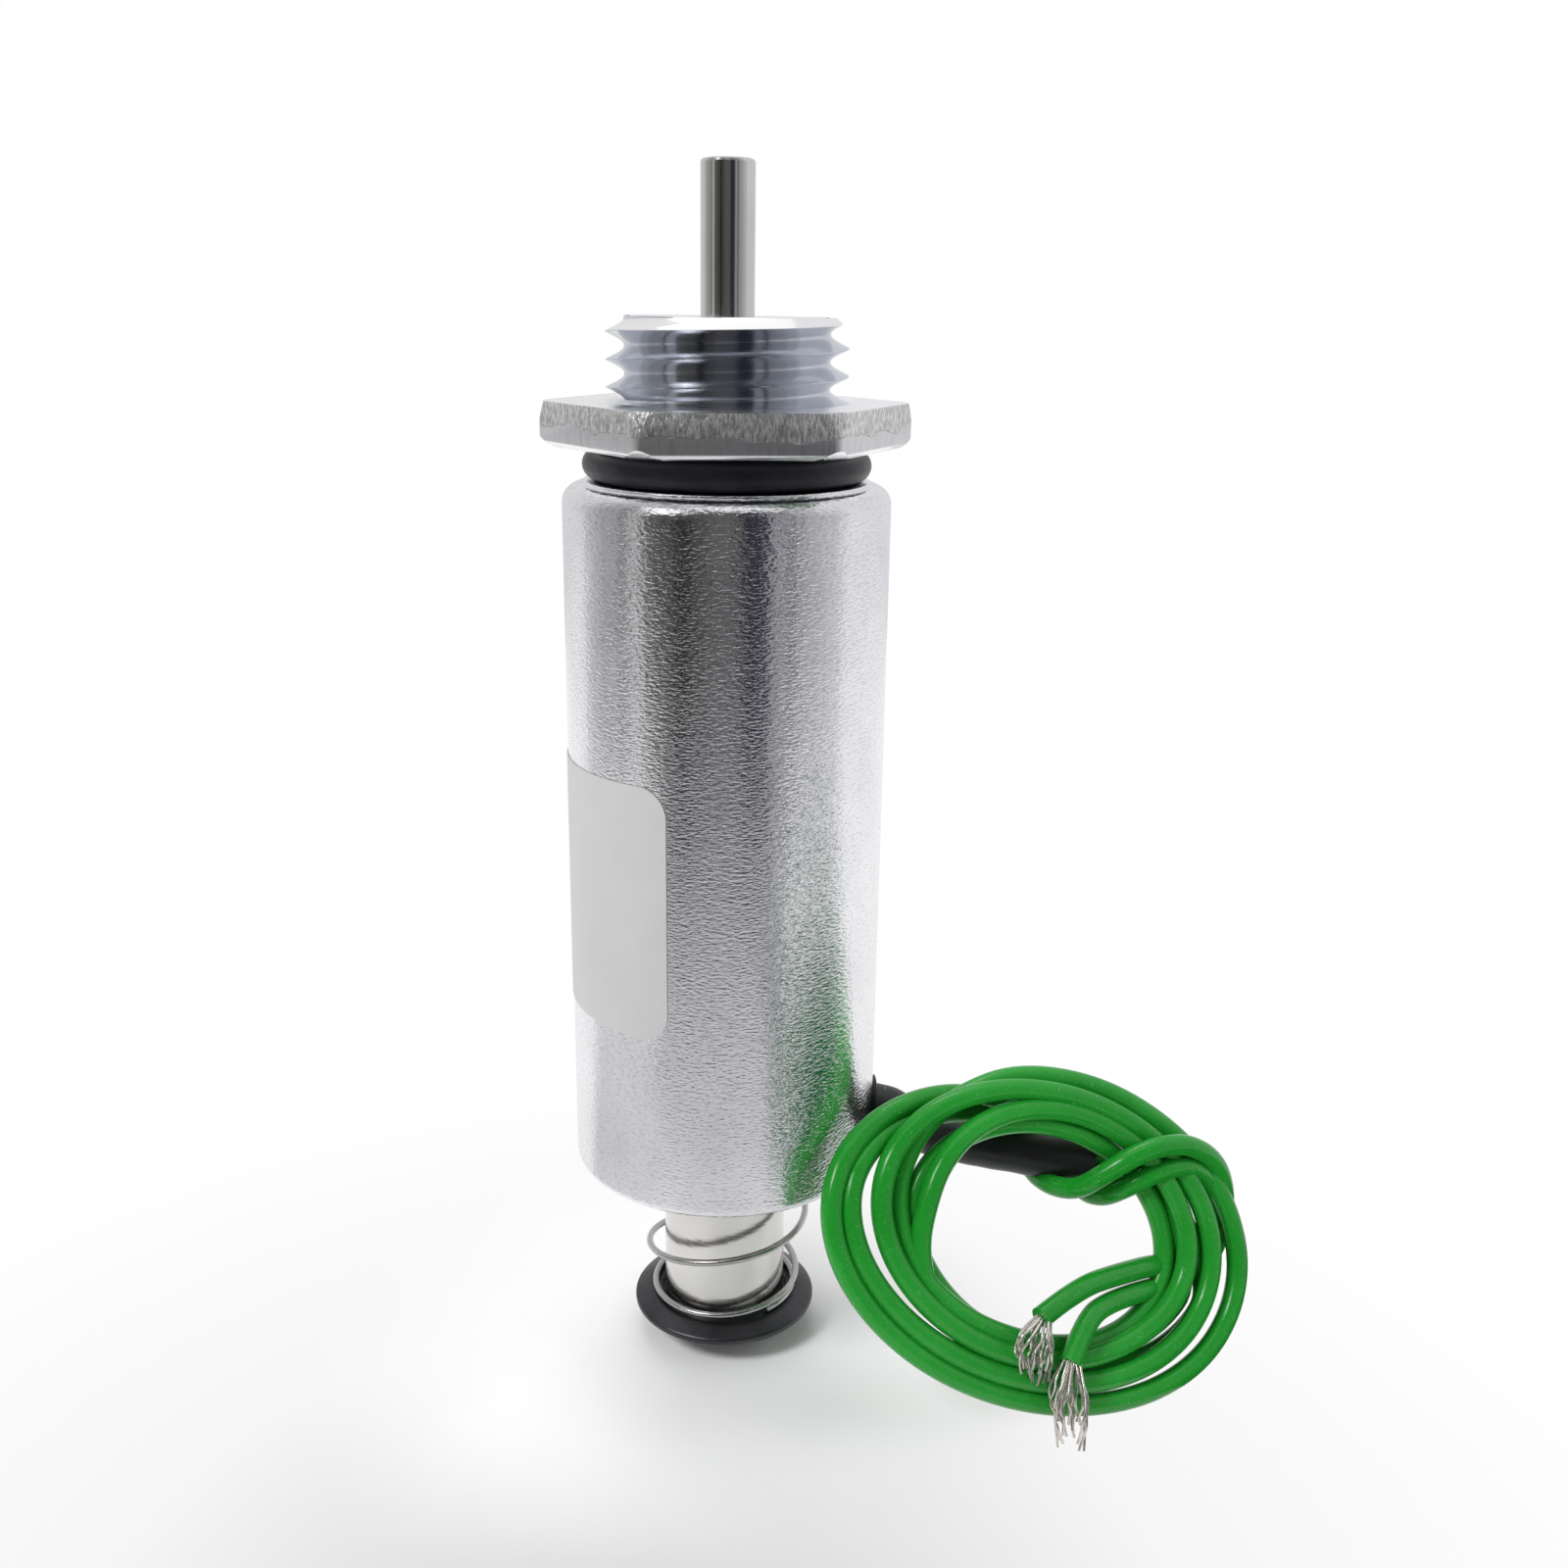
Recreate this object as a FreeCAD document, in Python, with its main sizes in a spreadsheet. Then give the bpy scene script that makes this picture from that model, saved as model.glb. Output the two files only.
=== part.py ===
import FreeCAD, Part
import Sketcher
import math
import os
import re

# Tubular push pull solenoid, standing on the free end of its plunger.
# Millimetres, Z up. The origin is the centre of the plunger's foot, on the surface it stands on,
# and +Z runs along the plunger and the push pin to the pin's tip.

# Each size: its alias in the sheet, its value and what it is.
SIZES = [
    ("can_radius", 12.5, "outside radius of the drawn can"),
    ("can_wall", 1.2, "wall of the can"),
    ("can_length", 56.0, "can from its bottom lip to its top face"),
    ("can_shoulder", 1.4, "outside radius of the rounded top shoulder"),
    ("can_bottom_round", 0.75, "outside radius of the rolled bottom corner"),
    ("can_lip_wall", 0.8, "thickness of the lip rolled in under the end plate"),
    ("can_lip_width", 1.1, "how far the lip reaches in from the inside of the wall"),
    ("can_boss_set_in", 1.55, "how far the raised ring under the O-ring stands in from the wall"),
    ("can_boss_rise", 0.3, "rise of that ring"),
    ("body_lift", 17.0, "bottom lip above the foot with the spring let out"),
    ("plate_thickness", 1.6, "steel end plate held by the lip"),
    ("plate_gap", 0.05, "radial gap of the plates inside the can"),
    ("tube_radius", 5.62, "outside radius of the brass guide tube"),
    ("tube_wall", 0.42, "wall of the guide tube"),
    ("tube_length", 38.4, "guide tube from the lip's top face up"),
    ("bobbin_gap", 0.04, "radial gap between bobbin and guide tube"),
    ("bobbin_wall", 0.8, "wall of the bobbin's barrel"),
    ("bobbin_foot", 5.0, "thick lower flange of the bobbin, which holds the lead joints"),
    ("bobbin_cheek", 1.4, "upper flange of the bobbin"),
    ("bobbin_edge_gap", 0.4, "gap between the bobbin's flanges and the can"),
    ("winding_height", 43.4, "height of the winding"),
    ("winding_clearance", 0.84, "gap between the taped winding and the can"),
    ("tape_wall", 0.25, "thickness of the tape over the winding"),
    ("insulator_thickness", 0.8, "fibre washer between bobbin and pole flange"),
    ("pole_flange_gap", 0.1, "radial gap between the pole flange and the can"),
    ("pole_length", 19.4, "pole core below its flange"),
    ("pole_spigot", 6.2, "length of the pole core that enters the guide tube"),
    ("pole_spigot_gap", 0.02, "radial gap of the spigot in the guide tube"),
    ("neck_crest_rise", 0.4, "crests of the M18 thread above the plain neck below it"),
    ("neck_mesh_drop", 0.25, "how far below the plain neck the threads of neck and nut meet"),
    ("neck_stand", 6.1, "neck above the nut"),
    ("neck_chamfer", 1.0, "chamfer at the top of the neck"),
    ("neck_hole_gap", 0.05, "radial gap of the neck in the can's top hole"),
    ("nut_flats", 24.2, "hex nut across its flats"),
    ("nut_thickness", 3.3, "thickness of the thin nut"),
    ("nut_gap", 0.15, "gap between the O-ring and the nut's underside"),
    ("nut_turn", 4.0, "degrees by which the nut is turned"),
    ("nut_bevel_start", 11.5, "radius where the underside's bevel starts"),
    ("nut_bevel_angle", 27.0, "angle of that bevel"),
    ("nut_top_radius", 13.55, "radius of the rolled corners at the nut's top face"),
    ("nut_roll_depth", 2.0, "depth over which the top corners are rolled"),
    ("nut_mouth", 0.75, "countersink of the nut's thread at its top face"),
    ("oring_section", 2.3, "diameter of the O-ring's section"),
    ("oring_set_in", 0.02, "how far the O-ring's outside stands in from the raised ring's edge"),
    ("oring_gap", 0.03, "radial gap of the O-ring on the plain neck"),
    ("pin_radius", 2.0, "push pin"),
    ("pin_reach", 10.95, "pin above the neck with the solenoid at rest"),
    ("pin_chamfer", 0.25, "chamfer of the pin's tip"),
    ("pin_gap", 0.06, "radial running gap of the pin in the neck"),
    ("pin_seat", 6.0, "depth of the pin's press seat in the plunger"),
    ("neck_mouth", 0.35, "chamfer at the mouth of the pin's hole"),
    ("travel", 10.0, "travel of the plunger"),
    ("plunger_gap", 0.05, "radial running gap of the plunger in the guide tube"),
    ("nose_angle", 30.0, "half angle of the conical nose and of its seat"),
    ("nose_tip_radius", 2.6, "radius of the nose's flat end"),
    ("nose_step", 0.55, "flat shoulder round the root of the nose"),
    ("shim_thickness", 0.4, "brass shim that keeps the plunger off the pole"),
    ("seated_gap", 0.1, "gap left at the shim when the plunger is fully in"),
    ("stub_radius", 4.4, "plunger's end below the spring disc"),
    ("stub_length", 3.0, "length of that end"),
    ("stub_chamfer", 0.3, "chamfer of the foot"),
    ("clip_groove_radius", 3.6, "radius at the bottom of the clip's groove"),
    ("clip_lift", 1.1, "underside of the groove above the foot"),
    ("clip_thickness", 0.8, "thickness of the retaining clip"),
    ("clip_groove_gap", 0.05, "height left over in the groove"),
    ("clip_radius", 6.3, "outside radius of the clip"),
    ("clip_band", 1.2, "width of the clip's band"),
    ("clip_prong", 1.6, "width of each prong"),
    ("clip_mouth", 6.6, "width of the clip's open side"),
    ("disc_radius", 7.8, "outside radius of the dished spring disc"),
    ("disc_floor", 1.0, "thickness of the disc under the plunger's shoulder"),
    ("disc_rise", 2.05, "height of the disc's spring seat"),
    ("disc_rim_rise", 1.35, "height of the disc's rim"),
    ("disc_rim_lift", 0.1, "underside of the rim above the disc's own underside"),
    ("disc_seat_radius", 6.35, "outside radius of the flat spring seat"),
    ("disc_pocket_gap", 0.15, "gap round the plunger in the disc's pocket"),
    ("disc_bore_gap", 0.05, "gap of the disc on the plunger's end"),
    ("disc_hem", 0.35, "rounding of the rim"),
    ("wire_radius", 0.27, "half the spring wire's diameter"),
    ("spring_foot_radius", 5.98, "mean radius of the closed turn on the disc"),
    ("spring_head_radius", 7.1, "mean radius of the closed turn under the end plate"),
    ("spring_open_turns", 1.8, "open turns between the two closed ones"),
    ("spring_closed_turns", 1.0, "closed turns at each end"),
    ("wire_gap", 0.06, "gap between the closed turns of wire"),
    ("spring_seat_gap", 0.05, "gap between the wire and the end plate at rest"),
    ("spring_ease", 0.35, "how gently the open turns leave the closed ones, from 0 to 1"),
    ("spring_end_angle", -54.0, "degrees from +X to the wire's lower end"),
    ("lead_height", 20.6, "height of the lead hole at rest"),
    ("lead_hole", 2.4, "radius of the lead hole in the can"),
    ("grommet_lip", 0.35, "how far the grommet's lips stand out round the hole"),
    ("grommet_lip_thickness", 0.55, "thickness of the grommet's outer lip"),
    ("grommet_inner_reach", 0.5, "how far the grommet's inner lip stands inside the can's wall"),
    ("grommet_wall_gap", 0.35, "gap left for the wall's curve behind the inner lip"),
    ("grommet_face_gap", 0.05, "the same gap at the outer lip"),
    ("grommet_dome", 0.3, "rounding of the outer lip"),
    ("sleeve_radius", 1.9, "outside radius of the shrink sleeve over the leads"),
    ("sleeve_wall", 0.28, "wall of the shrink sleeve"),
    ("sleeve_bore_gap", 0.03, "radial gap of the sleeve in the grommet"),
    ("lead_radius", 0.75, "half the insulated lead's diameter"),
    ("lead_spread", 0.81, "half the distance between the two leads"),
    ("slot_gap", 0.1, "gap beside the grommet's lip in the slots of bobbin and end plate"),
    ("slot_roof_gap", 0.3, "gap above that lip in the bobbin's slot"),
    ("slot_depth_radius", 7.9, "radius at which that slot ends"),
    ("joint_radius", 0.6, "radius of each soldered joint"),
    ("joint_length", 1.3, "length of each soldered joint"),
    ("joint_set_in", 1.4, "outer end of the joints inside the can's wall"),
    ("sleeve_set_in", 0.7, "inner end of the shrink sleeve inside the can's wall"),
    ("coil_half_length", 19.4, "half the long axis of the wound leads"),
    ("coil_half_width", 13.4, "half the short axis of the wound leads"),
    ("coil_end_radius", 10.8, "radius of the wound leads' round ends"),
    ("coil_eye_half_length", 10.4, "half the long axis of the open eye"),
    ("coil_eye_half_width", 7.75, "half the short axis of the open eye"),
    ("coil_eye_end_radius", 6.6, "radius of the eye's round ends"),
    ("coil_thickness", 2.8, "thickness of the wound leads"),
    ("coil_round", 1.25, "rounding of the wound leads' edges"),
    ("strand_radius", 0.45, "bundle of bare strands where it leaves the insulation"),
    ("strand_splay", 0.6, "radius of the splayed ends of the strands"),
]

# Heights and radii that follow from the sizes.
PLACES = {
    "plate_bottom": "body_lift + can_lip_wall",
    "plate_top": "plate_bottom + plate_thickness",
    "can_inside": "can_radius - can_wall",
    "can_boss_radius": "can_radius - can_boss_set_in",
    "can_top": "body_lift + can_length",
    "can_ceiling": "can_top - can_wall",
    "boss_top": "can_top + can_boss_rise",
    "neck_hole": "neck_relief + neck_hole_gap",
    "tube_inside": "tube_radius - tube_wall",
    "tube_top": "plate_bottom + tube_length",
    "plunger_radius": "tube_inside - plunger_gap",
    "bobbin_bore": "tube_radius + bobbin_gap",
    "barrel_radius": "bobbin_bore + bobbin_wall",
    "flange_radius": "can_inside - bobbin_edge_gap",
    "foot_top": "plate_top + bobbin_foot",
    "winding_radius": "can_inside - winding_clearance - tape_wall",
    "winding_top": "foot_top + winding_height",
    "bobbin_top": "winding_top + bobbin_cheek",
    "insulator_top": "bobbin_top + insulator_thickness",
    "pole_flange_radius": "can_inside - pole_flange_gap",
    "pole_face": "insulator_top - pole_length",
    "spigot_radius": "tube_inside - pole_spigot_gap",
    "neck_relief": "can_boss_radius - oring_set_in - oring_section - oring_gap",
    "neck_radius": "neck_relief + neck_crest_rise",
    "neck_pitch_radius": "neck_relief - neck_mesh_drop",
    "nut_bottom": "boss_top + oring_section + nut_gap",
    "nut_top": "nut_bottom + nut_thickness",
    "neck_top": "nut_top + neck_stand",
    "pin_tip": "neck_top + pin_reach",
    "pin_hole": "pin_radius + pin_gap",
    "shoulder": "pole_face - shim_thickness - seated_gap - travel",
    "nose_root_radius": "plunger_radius - nose_step",
    "nose_length": "(nose_root_radius - nose_tip_radius) / tan(nose_angle)",
    "seat_bottom": "pole_face + nose_length",
    "disc_bottom": "stub_length - disc_floor",
    "disc_top": "disc_bottom + disc_rise",
    "rim_bottom": "disc_bottom + disc_rim_lift",
    "rim_top": "rim_bottom + disc_rim_rise",
    "clip_top": "clip_lift + clip_thickness",
    "spring_foot": "disc_top + wire_radius",
    "spring_head": "plate_bottom - spring_seat_gap - wire_radius",
    "oring_centre": "boss_top + oring_section / 2",
    "oring_radius": "neck_relief + oring_gap + oring_section / 2",
    "sleeve_bore": "sleeve_radius + sleeve_bore_gap",
    "grommet_radius": "lead_hole + grommet_lip",
    "slot_half": "grommet_radius + slot_gap",
}

# Route of the shrink sleeve outside the can: straight out, then down to the wound leads.
SLEEVE_ROUTE = [(16.9, 0.0, 20.6), (24.1, -0.8, 18.4), (31.3, -2.5, 16.6)]
# The leads run on from the sleeve into the wound turns.
LEAD_END = (36.7, -4.1, 15.9)
# Free ends of the leads, from inside the wound turns to the stripped ends.
TAIL_A = [(37.3, -6.5, 9.2), (32.0, -9.8, 10.1), (28.4, -12.1, 10.4), (25.0, -14.7, 9.5)]
TAIL_B = [(36.9, -7.5, 7.6), (31.5, -11.0, 8.5), (28.9, -13.4, 8.4), (27.35, -15.9, 6.2)]
STRANDS_A_END = (24.3, -17.3, 5.1)
STRANDS_B_END = (27.1, -18.3, 0.35)
# Centre of the wound leads, and the turns that lay their plane against can and floor, in degrees.
COIL_CENTRE = (26.0, -9.6, 13.45)
COIL_TURN = 18.7
COIL_LEAN = 64.6
COIL_ROLL = -24.2
# Points of the spring wire's centre line in one turn.
POINTS_PER_TURN = 12

doc = FreeCAD.newDocument("push_pull_solenoid")
sheet = doc.addObject("Spreadsheet::Sheet", "Sizes")
for row, (alias, size, meaning) in enumerate(SIZES, start=1):
    sheet.set(f"A{row}", alias)
    sheet.set(f"B{row}", str(size))
    sheet.set(f"C{row}", meaning)
    sheet.setAlias(f"B{row}", alias)
doc.recompute()
ALIASES = {alias for alias, size, meaning in SIZES}


def formula(text):
    """Expression of the document for words that name sizes and places."""
    def word(match):
        name = match[0]
        if name in PLACES:
            return "(" + formula(PLACES[name]) + ")"
        return "Sizes." + name if name in ALIASES else name
    return re.sub(r"[a-z_]+", word, text)


def value(text):
    """Present value of such words, in millimetres or degrees."""
    return float(sheet.evalExpression(formula(text)))


def new_body(name):
    body = doc.addObject("PartDesign::Body", name)
    body.Label = name
    return body


def new_sketch(body, name, role, lift="0"):
    """Sketch on one of the body's own origin planes, raised by lift along the plane's normal."""
    sketch = body.newObject("Sketcher::SketchObject", name)
    plane = next(f for f in body.Origin.OriginFeatures if f.Role == role)
    sketch.AttachmentSupport = [(plane, "")]
    sketch.MapMode = "FlatFace"
    if lift != "0":
        sketch.setExpression("AttachmentOffset.Base.z", formula(lift))
    doc.recompute()
    return sketch


def place_point(sketch, geometry, end, across, along):
    """Ties one point of the sketch to the origin by two sizes."""
    for kind, axis, text in (("DistanceX", -2, across), ("DistanceY", -1, along)):
        size = value(text)
        if abs(size) < 1e-9:
            sketch.addConstraint(Sketcher.Constraint("PointOnObject", geometry, end, axis))
            continue
        number = sketch.addConstraint(Sketcher.Constraint(kind, -1, 1, geometry, end, size))
        sketch.setExpression(f"Constraints[{number}]", formula(text))


def outline(sketch, corners):
    """Closed outline of straight lines through corners, each a pair of sizes in words."""
    points = [FreeCAD.Vector(value(across), value(along), 0) for across, along in corners]
    first = sketch.GeometryCount
    for start, end in zip(points, points[1:] + points[:1]):
        sketch.addGeometry(Part.LineSegment(start, end), False)
    count = len(points)
    for i in range(count):
        after = first + (i + 1) % count
        sketch.addConstraint(Sketcher.Constraint("Coincident", first + i, 2, after, 1))
    for i, (across, along) in enumerate(corners):
        place_point(sketch, first + i, 1, across, along)


def circle(sketch, across, along, radius):
    centre = FreeCAD.Vector(value(across), value(along), 0)
    number = sketch.addGeometry(Part.Circle(centre, FreeCAD.Vector(0, 0, 1), value(radius)), False)
    place_point(sketch, number, 3, across, along)
    tie = sketch.addConstraint(Sketcher.Constraint("Radius", number, value(radius)))
    sketch.setExpression(f"Constraints[{tie}]", formula(radius))


def feature(body, kind, name, sketch, **numbers):
    """Feature of the body on that sketch, with its numbers tied to sizes."""
    made = body.newObject("PartDesign::" + kind, name)
    made.Profile = sketch
    for prop, text in numbers.items():
        made.setExpression(prop, formula(text))
    sketch.Visibility = False
    return made


def turned(body, name, corners, kind="Revolution"):
    """Outline in the XZ plane, turned once round the body's Z axis."""
    sketch = new_sketch(body, name + "_sketch", "XZ_Plane")
    outline(sketch, corners)
    made = feature(body, kind, name, sketch)
    made.ReferenceAxis = (sketch, ["V_Axis"])
    made.Angle = 360
    doc.recompute()
    return made


def rim_edges(made, radius, height):
    """Names of the circular edges of that radius at that height."""
    found = []
    for number, edge in enumerate(made.Shape.Edges, start=1):
        curve = edge.Curve
        if not isinstance(curve, Part.Circle):
            continue
        if abs(curve.Radius - value(radius)) < 1e-4 and abs(curve.Center.z - value(height)) < 1e-4:
            found.append(f"Edge{number}")
    return found


def eased(body, kind, name, base, rims, size):
    """Fillet or chamfer on rims of the base, each a pair of radius and height in words."""
    doc.recompute()
    edges = [edge for radius, height in rims for edge in rim_edges(base, radius, height)]
    made = body.newObject("PartDesign::" + kind, name)
    made.Base = (base, edges)
    made.setExpression("Radius" if kind == "Fillet" else "Size", formula(size))
    doc.recompute()
    return made


def radial_pocket(body, name, sketch, length, reach):
    """Pocket that runs outwards along X for that length from the YZ plane moved out to reach."""
    before = body.Shape.Volume
    made = feature(body, "Pocket", name, sketch, Length=length)
    made.Type = 0
    made.Reversed = True
    doc.recompute()
    if body.Shape.Volume > before - 1e-6:
        raise ValueError(f"{name} at {reach} cuts nothing")
    return made


def housing_can():
    """Drawn steel can: rounded shoulder, raised ring round the neck's hole, lip rolled in below."""
    body = new_body("housing_can")
    lip = "can_inside - can_lip_width"
    shell = turned(body, "can_shell", [
        (lip, "body_lift"), ("can_radius", "body_lift"), ("can_radius", "can_top"),
        ("can_boss_radius", "can_top"), ("can_boss_radius", "boss_top"),
        ("neck_hole", "boss_top"), ("neck_hole", "can_ceiling"),
        ("can_inside", "can_ceiling"), ("can_inside", "plate_bottom"), (lip, "plate_bottom"),
    ])
    shoulder = eased(body, "Fillet", "can_shoulder_round", shell,
                     [("can_radius", "can_top")], "can_shoulder")
    eased(body, "Fillet", "can_rolled_corner", shoulder,
          [("can_radius", "body_lift")], "can_bottom_round")
    hole = new_sketch(body, "lead_hole_sketch", "YZ_Plane")
    circle(hole, "0", "lead_height", "lead_hole")
    radial_pocket(body, "lead_hole_cut", hole, "can_radius + can_wall", "0")
    return body


def end_plate():
    """Flux plate that closes the can's open end, notched where the leads pass."""
    body = new_body("end_plate")
    turned(body, "plate_disc", [
        ("tube_radius", "plate_bottom"), ("can_inside - plate_gap", "plate_bottom"),
        ("can_inside - plate_gap", "plate_top"), ("tube_radius", "plate_top"),
    ])
    notch = new_sketch(body, "plate_notch_sketch", "XY_Plane", "plate_top")
    outline(notch, [
        ("slot_depth_radius", "-slot_half"), ("can_radius", "-slot_half"),
        ("can_radius", "slot_half"), ("slot_depth_radius", "slot_half"),
    ])
    feature(body, "Pocket", "plate_notch", notch, Length="plate_thickness * 2")
    return body


def guide_tube():
    """Brass tube that the plunger slides in and the pole core is pressed into."""
    body = new_body("guide_tube")
    turned(body, "tube_wall_turned", [
        ("tube_inside", "plate_bottom"), ("tube_radius", "plate_bottom"),
        ("tube_radius", "tube_top"), ("tube_inside", "tube_top"),
    ])
    return body


def bobbin():
    """Moulded bobbin with a thick lower flange, slotted for the leads and their joints."""
    body = new_body("bobbin")
    turned(body, "bobbin_turned", [
        ("bobbin_bore", "plate_top"), ("flange_radius", "plate_top"),
        ("flange_radius", "foot_top"), ("barrel_radius", "foot_top"),
        ("barrel_radius", "winding_top"), ("flange_radius", "winding_top"),
        ("flange_radius", "bobbin_top"), ("bobbin_bore", "bobbin_top"),
    ])
    slot = new_sketch(body, "bobbin_slot_sketch", "XY_Plane", "plate_top")
    outline(slot, [
        ("slot_depth_radius", "-slot_half"), ("can_radius", "-slot_half"),
        ("can_radius", "slot_half"), ("slot_depth_radius", "slot_half"),
    ])
    cut = feature(body, "Pocket", "bobbin_slot", slot,
                  Length="lead_height + grommet_radius + slot_roof_gap - plate_top")
    cut.Reversed = True
    return body


def coil_winding():
    """Enamelled copper winding."""
    body = new_body("coil_winding")
    turned(body, "winding_turned", [
        ("barrel_radius", "foot_top"), ("winding_radius", "foot_top"),
        ("winding_radius", "winding_top"), ("barrel_radius", "winding_top"),
    ])
    return body


def winding_tape():
    """Tape wrapped over the winding."""
    body = new_body("winding_tape")
    turned(body, "tape_turned", [
        ("winding_radius", "foot_top"), ("winding_radius + tape_wall", "foot_top"),
        ("winding_radius + tape_wall", "winding_top"), ("winding_radius", "winding_top"),
    ])
    return body


def insulating_washer():
    """Fibre washer between the bobbin and the pole flange."""
    body = new_body("insulating_washer")
    turned(body, "insulator_turned", [
        ("bobbin_bore", "bobbin_top"), ("flange_radius", "bobbin_top"),
        ("flange_radius", "insulator_top"), ("bobbin_bore", "insulator_top"),
    ])
    return body


def threaded_bush():
    """Turned steel bush: fixed pole core, pole flange and the neck that the nut runs on.

    The neck is drawn at the crest radius where its thread is bare, and inside the nut at the
    radius where both threads meet.
    """
    body = new_body("threaded_bush")
    turned(body, "bush_turned", [
        ("nose_tip_radius", "seat_bottom"), ("nose_root_radius", "pole_face"),
        ("spigot_radius", "pole_face"), ("spigot_radius", "pole_face + pole_spigot"),
        ("tube_radius", "pole_face + pole_spigot"), ("tube_radius", "insulator_top"),
        ("pole_flange_radius", "insulator_top"), ("pole_flange_radius", "can_ceiling"),
        ("neck_relief", "can_ceiling"), ("neck_relief", "nut_bottom"),
        ("neck_pitch_radius", "nut_bottom"), ("neck_pitch_radius", "nut_top"),
        ("neck_radius", "nut_top"), ("neck_radius", "neck_top - neck_chamfer"),
        ("neck_radius - neck_chamfer", "neck_top"), ("pin_hole + neck_mouth", "neck_top"),
        ("pin_hole", "neck_top - neck_mouth"), ("pin_hole", "seat_bottom"),
    ])
    return body


def pole_shim():
    """Thin brass ring on the pole's face that keeps the plunger from sticking."""
    body = new_body("pole_shim")
    turned(body, "shim_turned", [
        ("nose_root_radius + 0.05", "pole_face - shim_thickness"),
        ("spigot_radius", "pole_face - shim_thickness"),
        ("spigot_radius", "pole_face"), ("nose_root_radius + 0.05", "pole_face"),
    ])
    return body


def hex_nut():
    """Thin blanked nut: flat top with rolled corners and countersunk thread, bevelled underside."""
    body = new_body("hex_nut")
    sketch = new_sketch(body, "nut_sketch", "XY_Plane", "nut_bottom")
    corner = "nut_flats / 2 / cos(30)"
    outline(sketch, [
        (f"{corner} * cos(nut_turn + {60 * i})", f"{corner} * sin(nut_turn + {60 * i})")
        for i in range(6)
    ])
    circle(sketch, "0", "0", "neck_pitch_radius")
    feature(body, "Pad", "nut_pad", sketch, Length="nut_thickness")
    outside = "nut_flats"
    rise = "(nut_flats - nut_bevel_start) * tan(nut_bevel_angle)"
    turned(body, "nut_bevel", [
        ("nut_bevel_start", "nut_bottom"), (outside, "nut_bottom"),
        (outside, f"nut_bottom + {rise}"),
    ], "Groove")
    slope = f"({corner} - nut_top_radius) / nut_roll_depth"
    turned(body, "nut_rolled_corners", [
        ("nut_top_radius", "nut_top"), (corner, "nut_top - nut_roll_depth"),
        (f"{corner} + 1", "nut_top - nut_roll_depth"),
        (f"{corner} + 1", f"nut_top + {slope}"), ("nut_top_radius", f"nut_top + {slope}"),
    ], "Groove")
    turned(body, "nut_countersink", [
        ("neck_pitch_radius", "nut_top - nut_mouth"), ("neck_pitch_radius", "nut_top"),
        ("neck_pitch_radius + nut_mouth", "nut_top"),
    ], "Groove")
    return body


def o_ring():
    """Rubber ring between the nut and the can's raised ring."""
    ring = doc.addObject("Part::Torus", "o_ring")
    ring.Label = "o_ring"
    ring.setExpression("Radius1", formula("oring_radius"))
    ring.setExpression("Radius2", formula("oring_section / 2"))
    ring.setExpression("Placement.Base.z", formula("oring_centre"))
    return ring


def plunger():
    """Steel plunger: conical nose above, clip groove and foot below, bored for the pin."""
    body = new_body("plunger")
    groove_top = "clip_top + clip_groove_gap"
    turned(body, "plunger_turned", [
        ("0", "0"), ("stub_radius - stub_chamfer", "0"), ("stub_radius", "stub_chamfer"),
        ("stub_radius", "clip_lift"), ("clip_groove_radius", "clip_lift"),
        ("clip_groove_radius", groove_top), ("stub_radius", groove_top),
        ("stub_radius", "stub_length"), ("plunger_radius", "stub_length"),
        ("plunger_radius", "shoulder"), ("nose_root_radius", "shoulder"),
        ("nose_tip_radius", "shoulder + nose_length"),
        ("pin_radius", "shoulder + nose_length"),
        ("pin_radius", "shoulder + nose_length - pin_seat"),
        ("0", "shoulder + nose_length - pin_seat"),
    ])
    return body


def push_pin():
    """Ground steel pin pressed into the plunger and guided in the neck."""
    body = new_body("push_pin")
    turned(body, "pin_turned", [
        ("0", "shoulder + nose_length - pin_seat"),
        ("pin_radius", "shoulder + nose_length - pin_seat"),
        ("pin_radius", "pin_tip - pin_chamfer"), ("pin_radius - pin_chamfer", "pin_tip"),
        ("0", "pin_tip"),
    ])
    return body


def spring_disc():
    """Dished disc that carries the spring, held up against the plunger's shoulder."""
    body = new_body("spring_disc")
    bore = "stub_radius + disc_bore_gap"
    pocket = "plunger_radius + disc_pocket_gap"
    dish = turned(body, "disc_turned", [
        (bore, "disc_bottom"), ("disc_seat_radius", "disc_bottom"),
        ("disc_radius - disc_hem", "rim_bottom"), ("disc_radius", "rim_bottom"),
        ("disc_radius", "rim_top"), ("disc_seat_radius", "disc_top"),
        (pocket, "disc_top"), (pocket, "stub_length"), (bore, "stub_length"),
    ])
    eased(body, "Fillet", "disc_rim_round", dish, [("disc_radius", "rim_top")], "disc_hem")
    return body


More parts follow.
